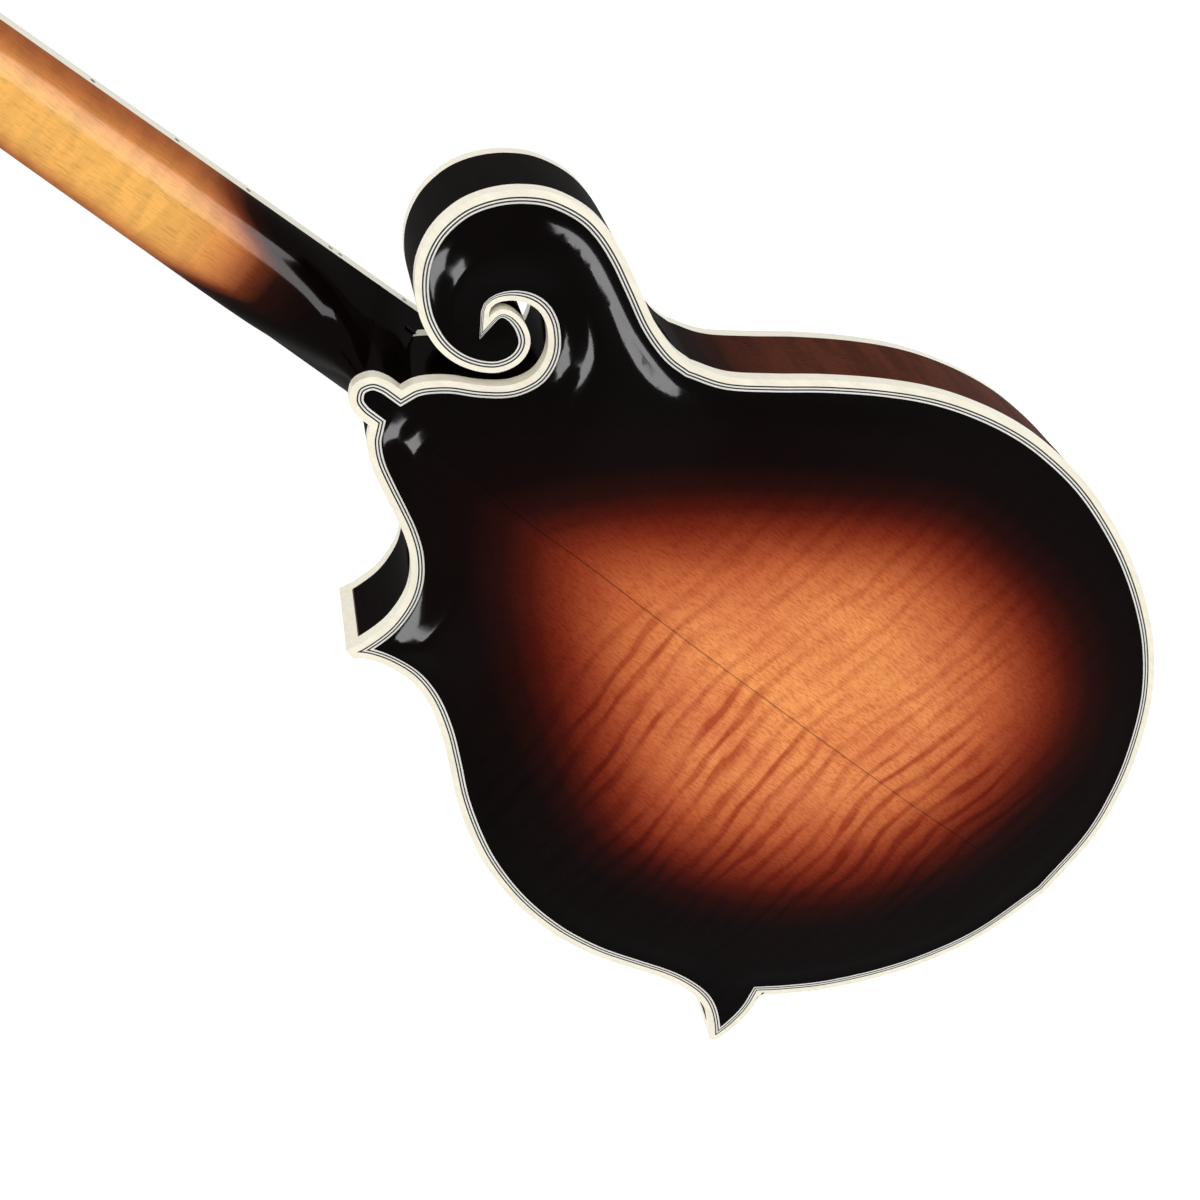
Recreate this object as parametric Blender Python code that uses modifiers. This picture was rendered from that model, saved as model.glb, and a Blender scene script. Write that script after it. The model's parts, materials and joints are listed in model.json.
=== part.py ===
"""F-style mandolin as separate pieces in real size.

Metres. +Z runs up the body's centre line to the neck, the carved top faces -Y and the back +Y.
The origin is the centre of the end pin's outer face, at the lowest point of the body.
Plan points are written in millimetres as seen from the back and measured from the neck joint:
the first number grows towards the scroll (bass side), the second towards the nut.
"""
import math

import bmesh
import bpy
import numpy as np
from mathutils import Matrix, Vector
from mathutils.geometry import delaunay_2d_cdt, intersect_line_line_2d

MM = 0.001
OBJECT_NAME = "f_style_mandolin"
FIT_GAP = 0.3 * MM

# Body
END_PIN_LENGTH = 12 * MM
BODY_LENGTH = 333 * MM
JOINT_Z = END_PIN_LENGTH + BODY_LENGTH
RIM_HALF = 21 * MM
PLATE_THICK = 4.7 * MM
BINDING_WIDE = 2.3 * MM
BINDING_TALL = 5 * MM
PLATE_INSET = BINDING_WIDE + FIT_GAP
UNDER_PLATE = RIM_HALF - PLATE_THICK - FIT_GAP
RIB_HALF = RIM_HALF - BINDING_TALL - FIT_GAP
BACK_CROWN = 12.5 * MM
TOP_CROWN = 15 * MM
SCROLL_RISE = 4.5 * MM
FLAT_RIM = 4 * MM
FLAT_STRIP = 1.9 * MM
RIM_BLEND = 10 * MM
LINING_INSET = PLATE_INSET + 0.9 * MM
LINING_WIDE = 5 * MM
LINING_TALL = 11 * MM
BLOCK_END = -62 * MM
BLOCK_SPLIT = 24 * MM
TAIL_BLOCK_HALF, TAIL_BLOCK_LONG = 32 * MM, 26 * MM
TONE_BAR_THICK = 6 * MM
TONE_BAR_ENDS = (85 * MM, 260 * MM)
TONE_BAR_OFF_LINE = (24 * MM, 32 * MM)
TONE_BAR_CLEAR = 0.8 * MM

# Neck and strings
SCALE_LENGTH = 352.4 * MM
JOINT_FRET = 15
FRET_COUNT = 22
NECK_ANGLE = math.radians(6)
PEGHEAD_ANGLE = math.radians(15)
BOARD_RISE = 14.4 * MM
BOARD_THICK = 6 * MM
BOARD_BINDING = 1.5 * MM
NUT_Z = SCALE_LENGTH * (1 - 2 ** (-JOINT_FRET / 12))
NUT_HALF = 14.3 * MM
JOINT_HALF = 18.3 * MM
NUT_LONG = 3.5 * MM
NUT_SLOT = 0.95 * MM
WOOD_TOP = BOARD_THICK + FIT_GAP
PEGHEAD_THICK = 13 * MM
PEGHEAD_BINDING = 1.5 * MM
OVERLAY_THICK = 2 * MM
TRUSS_COVER_THICK = 1.6 * MM
FRET_PROUD, FRET_SUNK, FRET_HALF, FRET_SHORT = 0.9 * MM, 0.5 * MM, 0.55 * MM, 0.8 * MM
NUT_FRONT, NUT_BACK = -1.9 * MM, -0.6 * MM
NUT_SLOT_FALL = math.radians(14)
STRING_FALL = math.radians(11)
TRUSS_LINE = 12 * MM
TRUSS_ROD_RADIUS, TRUSS_NUT_RADIUS, TRUSS_NUT_LONG = 2.4 * MM, 4.2 * MM, 12 * MM
TRUSS_NUT_Z = 210.5 * MM
BRIDGE_Z = 196 * MM
SADDLE_TOP = 33.2 * MM
SADDLE_HALF = 52 * MM
BRIDGE_POST_X = 34.5 * MM
BRIDGE_BASE_TALL = 6.2 * MM
BRIDGE_BASE_HALF, BRIDGE_FOOT, BRIDGE_BASE_THICK = 47 * MM, 14 * MM, 12 * MM
BRIDGE_ARCH = 2.2 * MM
BRIDGE_POST_RADIUS, BRIDGE_POST_CLEAR = 1.5 * MM, 0.15 * MM
WHEEL_TALL = 2.4 * MM
THUMBWHEEL_RADIUS, THUMBWHEEL_NOTCH, THUMBWHEEL_CORNERS = 7 * MM, 0.35 * MM, 24
THUMBWHEEL_LIFT = 1.6 * MM
COVER_SIZE = (42 * MM, 11.6 * MM, 62 * MM)
COVER_MIDDLE = (0, -37.8 * MM, 39 * MM)
COVER_CORNER = 5 * MM
PIN_HOLE_RADIUS = 4.3 * MM

# Tuners, in the peghead's frame
POST_ROW = 21 * MM
POST_FIRST = 30 * MM
POST_STEP = 23 * MM
POST_RADIUS = 3 * MM
POST_HOLE = POST_RADIUS + 0.6 * MM
TUNER_PLATE_THICK = 1.5 * MM
WHEEL_RADIUS = 5.2 * MM
WHEEL_TEETH = 14
WHEEL_THICK = 4.4 * MM
WORM_RADIUS = 2.25 * MM
WORM_DROP = WHEEL_RADIUS + WORM_RADIUS + 0.35 * MM
SHAFT_RADIUS = 1.2 * MM
PLATE_REACH = (7 * MM, 7.4 * MM)
PLATE_ENDS = (16 * MM, 9 * MM)
EAR_PLACES = (-6.4 * MM, 5.2 * MM)
EAR_THICK, EAR_HALF = 1.2 * MM, 2 * MM
POST_PROUD = 14 * MM
# Worm, shaft and button: place along the shaft, depth, width, worm's offset and its turn
WORM_SECTIONS = ([(-8.4, 1.2, 1.2, 0, 0), (-4.4, 1.2, 1.2, 0, 0)]
                 + [(-4.3 + 8.6 * k / 4, 1.85, 1.85, 0.4, math.pi / 2 * k) for k in range(5)]
                 + [(4.4, 1.2, 1.2, 0, 0), (16.6, 1.2, 1.2, 0, 0), (17.4, 2.5, 2.5, 0, 0),
                    (21.4, 3.7, 6.6, 0, 0), (28, 3.9, 7.4, 0, 0), (31.2, 1.8, 3.6, 0, 0)])

# Plan outlines of the body, back view, millimetres from the neck joint
BUTTON = [(-7.6, 2.3), (-7.4, 7.5), (-5.4, 12.4), (0, 15), (5.4, 12.4), (7.4, 7.5), (7.6, 2.3)]
SLOT_OUTER = [(7.6, 2.3), (11.5, 0.8), (15.4, -2.4), (19.8, -8), (24.2, -15.8), (29.6, -22.6),
              (35.6, -26), (40.8, -26.2), (46.2, -24.1), (50.8, -19.9), (53.1, -16), (53.8, -12.5),
              (53.2, -9), (51.4, -5.4), (48.9, -2.8), (46.4, -1.6), (44.4, -1.8), (42.5, -3.1)]
SCROLL = [(42.5, -3.1), (44.6, -3.2), (46.5, -4), (47.9, -5.6), (48.6, -8.5), (48.2, -12.4),
          (46.5, -16.2), (43.9, -18.9), (40.4, -20.3), (36.4, -20.2), (32.6, -18.6),
          (29.4, -15.8), (26.6, -11), (24.9, -5.2), (24.8, 1), (26.3, 7), (29.6, 13.6), (35, 20),
          (41.8, 24.9), (49.6, 27.5), (57, 27.8), (65, 26), (72.6, 21.6), (79, 15.4),
          (84, 7.4), (86.6, -3), (86.2, -12), (83.4, -22), (78.6, -33.4), (73.6, -45), (71, -56),
          (71.2, -64)]
BASS_BOUT = [(71.2, -64), (75.6, -76), (84.6, -88.8), (95.6, -103), (107, -119.8), (115.8, -136),
             (122, -153), (125.8, -170), (127, -186), (126.4, -203), (123.4, -220.5), (118, -240),
             (110, -259.5), (100, -277.2), (86, -294.4), (68.6, -308.9), (50.6, -320),
             (29, -328.6), (0, -333)]
TREBLE_TAIL = [(0, -333), (-29, -328.6), (-50.6, -320), (-68.6, -308.9), (-86, -294.4),
               (-97.5, -281.6), (-103.6, -273.6)]
LOWER_POINT_UNDER = [(-103.6, -273.6), (-109.5, -275.6), (-116, -276.6), (-124, -276.6),
                     (-130.4, -275.6)]
TREBLE_BOUT = [(-132, -272.8), (-127, -267.6), (-122, -260.6), (-119.2, -253.4), (-118.4, -244),
               (-119.4, -234), (-122.6, -220), (-125.8, -205), (-127.1, -190), (-126.6, -177),
               (-124.4, -163), (-120.6, -149.6), (-115.4, -136.8), (-108.6, -124.6),
               (-100.4, -112.4), (-91, -101), (-82.4, -90), (-75.6, -78.6), (-72.2, -68),
               (-72.4, -58), (-74.4, -50.6), (-76.8, -46.6)]
UPPER_POINT_OVER = [(-75.8, -43), (-70, -45.4), (-60, -47.3), (-50, -46.2), (-42.5, -43),
                    (-35.8, -37.4), (-30.6, -30.4), (-26.4, -22.6), (-22.4, -14.6), (-17.8, -6.4),
                    (-12.6, -0.6), (-7.6, 2.3)]
# The cavity's own curve on the treble side, which leaves both points outside it
TREBLE_CAVITY = [(0, -333), (-29, -328.6), (-50.6, -320), (-68.6, -308.9), (-86, -294.4),
                 (-97.5, -281.6), (-103, -273.4), (-108.6, -263), (-113.8, -250), (-118.2, -236),
                 (-122.4, -220), (-125.6, -205), (-127, -190), (-126.5, -177), (-124.3, -163),
                 (-120.5, -149.6), (-115.3, -136.8), (-108.5, -124.6), (-100.3, -112.4),
                 (-90.9, -101), (-82.3, -90), (-75.5, -78.6), (-72, -68), (-72, -63)]
UPPER_TIP, UPPER_TIP_OUT = (-76.6, -44.6), (-0.75, 0.66)
LOWER_TIP, LOWER_TIP_OUT = (-131.4, -274.4), (-0.95, -0.32)
POINT_CAP_LONG = 4.2 * MM
FINE_STEP = 5 * MM
MIDDLE_STEP = 9 * MM
WIDE_STEP = 16 * MM
PLATE_GRID = 19 * MM
RELIEF_GRID = 4 * MM

# F-holes, one side, back view
F_UPPER_EYE, F_UPPER_RADIUS = (40.5, -110.5), 4.2
F_LOWER_EYE, F_LOWER_RADIUS = (69, -186.5), 5.4
F_INNER_EDGE = [(43, -107), (48.4, -106.8), (53.6, -112), (56, -121.6), (56, -135.4),
                (57.2, -149), (60.2, -163), (64.6, -176), (67, -181.4)]
F_OUTER_EDGE = [(64, -189.2), (60.6, -183.4), (56, -170.6), (52.8, -157), (51.8, -143),
                (51.4, -130), (50.4, -120.4), (47.4, -113.2), (44.2, -110.2)]

# Neck sections in millimetres: place up from the joint, depth, flat half-width and how much
# of the heel's hollow flanks each has
NECK_STATIONS = [(-12, 52.6, 7.6, 1), (2.3, 51.3, 7.6, 1), (7.4, 50.8, 7.2, 1), (12, 50.3, 5.2, 1),
                 (14.2, 49.9, 3, 0.95), (15.6, 48.4, 1.6, 0.9), (17.6, 44.6, 1.1, 0.8),
                 (20.6, 39, 0.9, 0.66), (24.6, 33, 0.8, 0.5), (30, 28, 0.7, 0.32),
                 (37, 25.2, 0.6, 0.15), (47, 23.8, 0.6, 0.04), (70, 23, 0.6, 0),
                 (120, 22, 0.6, 0), (170, 21.2, 0.6, 0), (199, 20.8, 0.6, 0),
                 (208.4, 20.6, 0.6, 0)]
RISER = ((-15 * MM, WOOD_TOP, -52 * MM), (15 * MM, 18 * MM, 4 * MM))
TRUSS_SLOT = ((-2.8 * MM, WOOD_TOP - 1 * MM, 8 * MM), (2.8 * MM, WOOD_TOP + 8.4 * MM, 210 * MM))
TRUSS_POCKET = ((-5.4 * MM, 2 * MM, 208.6 * MM), (5.4 * MM, 17 * MM, 230 * MM))
# Dovetail: place along the body and half-width, then its front and back
TENON_SECTIONS = ((6 * MM, 5.6 * MM), (-14 * MM, 8 * MM))
TENON_FRONT, TENON_BACK = -14 * MM, 11 * MM
BOARD_END = [(-61.5, -19.5), (-64, -13), (-61, -4), (-58, 4), (-59, 11), (-54.5, 19.4)]
TRUSS_COVER = [(-8, 3), (-8.4, 8), (-6.4, 16), (-3, 24), (0, 30), (3, 24), (6.4, 16), (8.4, 8),
               (8, 3)]

# Peghead outline, front view, millimetres up from the nut, from the treble side round to the bass
PEGHEAD = [(14.3, 0), (15, 5), (19, 9.5), (26, 12.6), (33, 17.4), (37, 24), (35.8, 30.4),
           (34.2, 38), (34, 52), (34.4, 70), (35.6, 88), (38, 102), (41, 111), (40.4, 119.6),
           (33, 124.4), (24, 124.4), (15, 127.8), (9, 135), (4.6, 145), (-3, 154.6),
           (-14, 160.6), (-27, 161), (-37.6, 154.4), (-42, 143.6), (-39.6, 133.4), (-32, 130),
           (-26.4, 134.4), (-26.6, 127.4), (-31.4, 121), (-38.4, 116), (-40.6, 109), (-38, 100),
           (-35.6, 88), (-34.4, 70), (-34, 52), (-34.2, 38), (-35.8, 30.4), (-37, 24),
           (-33, 17.4), (-26, 12.6), (-19, 9.5), (-15, 5), (-14.3, 0)]

# Strings from the bass side: diameter, whose spread at the nut and at the bridge is below
STRING_NAMES = ["g_outer", "g_inner", "d_outer", "d_inner", "a_inner", "a_outer", "e_inner",
                "e_outer"]
STRING_DIAMETERS = [1.02 * MM, 1.02 * MM, 0.66 * MM, 0.66 * MM, 0.38 * MM, 0.38 * MM, 0.28 * MM,
                    0.28 * MM]
NUT_COURSES = [-11.6, -9.6, -4.7, -2.7, 2.7, 4.7, 9.6, 11.6]
BRIDGE_COURSES = [-21.2, -18.4, -8.2, -5.4, 5.4, 8.2, 18.4, 21.2]
STRING_POSTS = [(-1, 0), (-1, 1), (-1, 2), (-1, 3), (1, 3), (1, 2), (1, 1), (1, 0)]
STRING_LIFT = 0.15 * MM
HOOK_STEP = 4.6 * MM
COVER_THICK = 0.8 * MM
HOOK_Z = 32 * MM
WINDING_TURNS = 2
WINDING_POINTS = 9
WINDING_CLEAR = 0.45 * MM

TAIL_RIM_Z = END_PIN_LENGTH

parts = None
cutters = None
materials = {}


def start_scene():
    """Empties the file and makes the two collections."""
    global parts, cutters
    for thing in list(bpy.data.objects):
        bpy.data.objects.remove(thing, do_unlink=True)
    parts = bpy.data.collections.new(OBJECT_NAME)
    cutters = bpy.data.collections.new("cutters")
    for group in (parts, cutters):
        bpy.context.scene.collection.children.link(group)


def add_material(name, color, roughness, metallic=0.0):
    """One plain finish; the colour is linear RGB."""
    finish = bpy.data.materials.new(name)
    finish.use_nodes = True
    shader = finish.node_tree.nodes["Principled BSDF"]
    shader.inputs["Base Color"].default_value = (*color, 1)
    shader.inputs["Roughness"].default_value = roughness
    shader.inputs["Metallic"].default_value = metallic
    finish.diffuse_color = (*color, 1)
    materials[name] = finish


def add_materials():
    add_material("flamed_maple", (0.30, 0.06, 0.015), 0.2)
    add_material("rib_maple", (0.12, 0.025, 0.012), 0.25)
    add_material("neck_maple", (0.50, 0.20, 0.04), 0.25)
    add_material("spruce_top", (0.42, 0.20, 0.06), 0.25)
    add_material("bare_spruce", (0.60, 0.42, 0.22), 0.7)
    add_material("bare_mahogany", (0.30, 0.13, 0.06), 0.7)
    add_material("ebony", (0.02, 0.017, 0.015), 0.4)
    add_material("ivoroid", (0.90, 0.84, 0.66), 0.35)
    add_material("bone", (0.85, 0.80, 0.66), 0.4)
    add_material("pearl_button", (0.86, 0.85, 0.80), 0.25)
    add_material("nickel", (0.72, 0.70, 0.66), 0.25, 1.0)
    add_material("brass", (0.75, 0.55, 0.25), 0.3, 1.0)
    add_material("steel", (0.55, 0.55, 0.56), 0.3, 1.0)
    add_material("string_steel", (0.75, 0.75, 0.76), 0.25, 1.0)
    add_material("string_bronze", (0.70, 0.42, 0.22), 0.3, 1.0)


def add_frame(name, location, tilt, parent=None):
    """An empty that carries the pieces built in its own axes."""
    frame = bpy.data.objects.new(name, None)
    frame.location = location
    frame.rotation_euler = (tilt, 0, 0)
    frame.parent = parent
    parts.objects.link(frame)
    return frame


def add_piece(name, mesh, material, parent=None, smooth_angle=35):
    """Links a mesh as one named piece of the mandolin."""
    piece = bpy.data.objects.new(name, mesh)
    mesh.materials.clear()
    mesh.materials.append(materials[material])
    mesh.shade_smooth()
    mesh.set_sharp_from_angle(angle=math.radians(smooth_angle))
    piece.parent = parent
    parts.objects.link(piece)
    return piece


def add_cutter(name, mesh, parent=None):
    """Links a mesh as a hidden tool for the Boolean modifiers."""
    cutter = bpy.data.objects.new(name, mesh)
    cutter.display_type = "WIRE"
    cutter.hide_render = True
    cutter.parent = parent
    cutters.objects.link(cutter)
    return cutter


def combine(piece, tool, operation="DIFFERENCE"):
    """Adds one Boolean modifier."""
    step = piece.modifiers.new(f"{operation.lower()}_{tool.name}", "BOOLEAN")
    step.operation = operation
    step.object = tool


def finish_mesh(build, weld=1e-7):
    """Welds, faces outwards and turns a bmesh into a mesh."""
    bmesh.ops.remove_doubles(build, verts=build.verts, dist=weld)
    bmesh.ops.recalc_face_normals(build, faces=build.faces)
    mesh = bpy.data.meshes.new("solid")
    build.to_mesh(mesh)
    build.free()
    return mesh


def slab(loops, low, high):
    """A flat outline in X and Z, with any holes in it, as a solid from low to high along Y."""
    outline = bpy.data.curves.new("outline", "CURVE")
    outline.dimensions = "2D"
    outline.fill_mode = "BOTH"
    outline.extrude = (high - low) / 2
    for loop in loops:
        line = outline.splines.new("POLY")
        line.points.add(len(loop) - 1)
        for point, (x, z) in zip(line.points, loop):
            point.co = (x, z, 0, 1)
        line.use_cyclic_u = True
    holder = bpy.data.objects.new("outline", outline)
    bpy.context.scene.collection.objects.link(holder)
    graph = bpy.context.evaluated_depsgraph_get()
    flat = bpy.data.meshes.new_from_object(holder.evaluated_get(graph))
    bpy.data.objects.remove(holder)
    build = bmesh.new()
    build.from_mesh(flat)
    stand = Matrix.Translation((0, (low + high) / 2, 0)) @ Matrix.Rotation(math.pi / 2, 4, "X")
    bmesh.ops.transform(build, matrix=stand, verts=build.verts)
    return finish_mesh(build)


def block(low, high):
    """A box between two corners."""
    build = bmesh.new()
    bmesh.ops.create_cube(build, size=1)
    size = [b - a for a, b in zip(low, high)]
    middle = [(a + b) / 2 for a, b in zip(low, high)]
    bmesh.ops.scale(build, vec=size, verts=build.verts)
    bmesh.ops.translate(build, vec=middle, verts=build.verts)
    return finish_mesh(build)


def rod(radius, start, end, sides=16):
    """A cylinder between two points."""
    start, end = Vector(start), Vector(end)
    along = end - start
    build = bmesh.new()
    bmesh.ops.create_cone(build, cap_ends=True, segments=sides, radius1=radius, radius2=radius,
                          depth=along.length)
    turn = Vector((0, 0, 1)).rotation_difference(along).to_matrix().to_4x4()
    place = Matrix.Translation((start + end) / 2) @ turn
    bmesh.ops.transform(build, matrix=place, verts=build.verts)
    return finish_mesh(build)


def group(meshes):
    """Several separate solids in one mesh, for use as one tool."""
    build = bmesh.new()
    for mesh in meshes:
        build.from_mesh(mesh)
    mesh = bpy.data.meshes.new("group")
    build.to_mesh(mesh)
    build.free()
    return mesh


def loft(rings):
    """A closed solid through rings of equally many points."""
    build = bmesh.new()
    levels = [[build.verts.new(point) for point in ring] for ring in rings]
    count = len(rings[0])
    for lower, upper in zip(levels[:-1], levels[1:]):
        for k in range(count):
            j = (k + 1) % count
            build.faces.new((lower[k], lower[j], upper[j], upper[k]))
    build.faces.new(list(reversed(levels[0])))
    build.faces.new(levels[-1])
    return finish_mesh(build)


def turned(name, profile, material, steps=20, parent=None, location=(0, 0, 0), turn=(0, 0, 0)):
    """A profile of radius and height, top to bottom, spun about its own Z axis."""
    build = bmesh.new()
    points = [build.verts.new((radius, 0, height)) for radius, height in profile]
    for a, b in zip(points[:-1], points[1:]):
        build.edges.new((a, b))
    mesh = bpy.data.meshes.new(name)
    build.to_mesh(mesh)
    build.free()
    piece = add_piece(name, mesh, material, parent)
    piece.location = location
    piece.rotation_euler = turn
    spin = piece.modifiers.new("spin", "SCREW")
    spin.steps = steps
    spin.render_steps = steps
    spin.use_merge_vertices = True
    spin.merge_threshold = 0.00001
    return piece


def smooth_line(points, step):
    """A smooth curve through the points, read again at even steps, with both ends kept."""
    knots = [Vector(p) for p in points]
    padded = [2 * knots[0] - knots[1]] + knots + [2 * knots[-1] - knots[-2]]
    dense = []
    for k in range(1, len(padded) - 2):
        a, b, c, d = padded[k - 1:k + 3]
        for part in range(12):
            t = part / 12
            dense.append(0.5 * (2 * b + (c - a) * t + (2 * a - 5 * b + 4 * c - d) * t * t
                                + (3 * b - a - 3 * c + d) * t ** 3))
    dense.append(knots[-1])
    lengths = [0.0]
    for a, b in zip(dense[:-1], dense[1:]):
        lengths.append(lengths[-1] + (b - a).length)
    count = max(2, round(lengths[-1] / step))
    targets = [lengths[-1] * k / count for k in range(count + 1)]
    xs = np.interp(targets, lengths, [p.x for p in dense])
    ys = np.interp(targets, lengths, [p.y for p in dense])
    return list(zip(xs.tolist(), ys.tolist()))


def plan(points, step):
    """Back-view millimetres to a smooth line in the object's X and Z."""
    return smooth_line([(-x * MM, JOINT_Z + y * MM) for x, y in points], step)


def joined(*lines):
    """End-to-end lines as one loop, each shared corner once."""
    loop = []
    for line in lines:
        loop += line if not loop or math.dist(loop[-1], line[0]) > 1e-6 else line[1:]
    return loop[:-1] if math.dist(loop[0], loop[-1]) < 1e-6 else loop


def inset(loop, distance, closed=True, longest=3.9):
    """The loop moved to its left by a distance, with mitred corners of limited length."""
    count = len(loop)
    moved = []
    for k in range(count):
        here = Vector(loop[k])
        before = Vector(loop[k - 1]) if closed or k else 2 * here - Vector(loop[1])
        after = Vector(loop[(k + 1) % count]) if closed or k < count - 1 else 2 * here - before
        first, second = (here - before).normalized(), (after - here).normalized()
        left = Vector((-first.y - second.y, first.x + second.x)).normalized()
        stretch = min(longest, 1 / max(1e-6, left.dot(Vector((-first.y, first.x)))))
        moved.append(tuple(here + left * distance * stretch))
    return without_knots(moved, closed)


def without_knots(line, closed):
    """Cuts off the small loops that a moved line makes at tight corners."""
    count = len(line)
    for i in range(count - 2):
        for j in range(i + 2, min(i + 9, count - (1 if closed and i == 0 else 0))):
            if j + 1 >= count and not closed:
                continue
            cross = intersect_line_line_2d(line[i], line[i + 1], line[j], line[(j + 1) % count])
            if cross:
                return without_knots(line[:i + 1] + [tuple(cross)] + line[j + 1:], closed)
    return line


def edge_distance(points, loop):
    """Least distance of each point to the loop."""
    least = np.full(len(points), np.inf)
    corners = np.array(loop)
    for a, b in zip(corners, np.roll(corners, -1, axis=0)):
        along = b - a
        share = np.clip(((points - a) @ along) / (along @ along), 0, 1)
        least = np.minimum(least, np.linalg.norm(points - a - share[:, None] * along, axis=1))
    return least


def inside(points, loop):
    """Which points lie in the loop."""
    found = np.zeros(len(points), bool)
    corners = np.array(loop)
    for a, b in zip(corners, np.roll(corners, -1, axis=0)):
        spans = (a[1] > points[:, 1]) != (b[1] > points[:, 1])
        rise = b[1] - a[1] if abs(b[1] - a[1]) > 1e-12 else 1e-12
        crossing = a[0] + (points[:, 1] - a[1]) * (b[0] - a[0]) / rise
        found ^= spans & (points[:, 0] < crossing)
    return found


def eased(share):
    share = np.clip(share, 0, 1)
    return share * share * (3 - 2 * share)


class Relief:
    """The carved height over the rim plane: the shape that a stretched sheet takes over the
    outline when it is blown up, with a flat rim, and a ridge that follows the scroll."""

    def __init__(self, outline, crown):
        self.outline, self.crown = outline, crown
        corners = np.array(outline)
        self.low = corners.min(axis=0) - RELIEF_GRID
        counts = np.ceil((corners.max(axis=0) + RELIEF_GRID - self.low) / RELIEF_GRID).astype(int)
        xs, zs = (self.low[k] + RELIEF_GRID * np.arange(counts[k] + 1) for k in (0, 1))
        places = np.array([(x, z) for x in xs for z in zs])
        mask = inside(places, outline).reshape(len(xs), len(zs))
        sheet = np.zeros(mask.shape)
        for _ in range(1800):
            sheet[1:-1, 1:-1] = (sheet[2:, 1:-1] + sheet[:-2, 1:-1] + sheet[1:-1, 2:]
                                 + sheet[1:-1, :-2] + 1) / 4
            sheet[~mask] = 0
        self.sheet = sheet / sheet.max()

    def height(self, points):
        points = np.asarray(points, float).reshape(-1, 2)
        where = (points - self.low) / RELIEF_GRID
        cell = np.clip(where.astype(int), 0, np.array(self.sheet.shape) - 2)
        u, v = (where - cell).T
        i, j = cell.T
        swell = (self.sheet[i, j] * (1 - u) * (1 - v) + self.sheet[i + 1, j] * u * (1 - v)
                 + self.sheet[i, j + 1] * (1 - u) * v + self.sheet[i + 1, j + 1] * u * v)
        rim = eased((edge_distance(points, self.outline) - FLAT_RIM) / RIM_BLEND)
        rim[~inside(points, self.outline)] = 0
        scroll = eased((points[:, 1] - JOINT_Z + 90 * MM) / (45 * MM))
        dome = 0.45 * swell + 0.55 * eased(swell)
        return rim * (self.crown * dome + SCROLL_RISE * scroll)


def carved_plate(outline, relief, side, thickness, lift=0.0):
    """A plate whose two faces follow the relief; side is +1 for the back, -1 for the top."""
    grid = PLATE_GRID
    edge = inset(outline, PLATE_INSET)
    ring = inset(outline, PLATE_INSET + FLAT_STRIP)
    corners = np.array(outline)
    low, high = corners.min(axis=0), corners.max(axis=0)
    rows = int((high[1] - low[1]) / (grid * 0.866)) + 1
    columns = int((high[0] - low[0]) / grid) + 1
    grid_points = np.array([(low[0] + (c + 0.5 * (r % 2)) * grid, low[1] + r * grid * 0.866)
                            for r in range(rows) for c in range(columns)])
    keep = inside(grid_points, ring) & (edge_distance(grid_points, ring) > 0.38 * grid)
    points = edge + ring[::2] + [tuple(p) for p in grid_points[keep]]
    places, _, triangles, _, _, _ = delaunay_2d_cdt([Vector(p) for p in points], [],
                                                    [list(range(len(edge)))], 1, 1e-7)
    flat = [(p.x, p.y) for p in places]
    heights = RIM_HALF + lift + relief.height(flat)
    build = bmesh.new()
    outer, inner = ([build.verts.new((x, side * (h - down), z)) for (x, z), h in zip(flat, heights)]
                    for down in (0, thickness))
    for triangle in triangles:
        build.faces.new([outer[k] for k in triangle])
        build.faces.new([inner[k] for k in reversed(triangle)])
    partner = dict(zip(outer, inner))
    for rim in [e for e in build.edges if e.is_boundary and e.verts[0] in partner]:
        first, second = rim.verts
        build.faces.new((first, second, partner[second], partner[first]))
    return finish_mesh(build)


def add_plates(back_loop, rim_loop, back_relief, top_relief):
    add_piece("back_plate", carved_plate(back_loop, back_relief, 1, PLATE_THICK), "flamed_maple")
    top = add_piece("top_plate", carved_plate(rim_loop, top_relief, -1, PLATE_THICK),
                    "spruce_top")
    for side, word in ((1, "bass"), (-1, "treble")):
        flip = [(-side * x * MM, JOINT_Z + y * MM) for x, y in F_INNER_EDGE]
        flop = [(-side * x * MM, JOINT_Z + y * MM) for x, y in F_OUTER_EDGE]
        stem = joined(smooth_line(flip, MIDDLE_STEP), smooth_line(flop, MIDDLE_STEP))
        tool = add_cutter(f"f_hole_{word}", slab([stem], -RIM_HALF - 30 * MM, -5 * MM))
        for (x, y), radius, end in ((F_UPPER_EYE, F_UPPER_RADIUS, "upper"),
                                    (F_LOWER_EYE, F_LOWER_RADIUS, "lower")):
            place = (-side * x * MM, JOINT_Z + y * MM)
            eye = add_cutter(f"f_{end}_eye_{word}",
                             rod(radius * MM, (place[0], -RIM_HALF - 31 * MM, place[1]),
                                 (place[0], -4 * MM, place[1]), 10))
            combine(tool, eye, "UNION")
        combine(top, tool)


def tip_box(tip, outward, gap):
    """A box that holds the last few millimetres of a point."""
    angle = math.atan2(outward[1], -outward[0])
    mesh = block((-POINT_CAP_LONG - gap, -RIM_HALF - gap, -20 * MM), (12 * MM, RIM_HALF, 20 * MM))
    place = Matrix.Translation((-tip[0] * MM, 0, JOINT_Z + tip[1] * MM))
    mesh.transform(place @ Matrix.Rotation(-angle, 4, "Y"))
    return mesh


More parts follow.
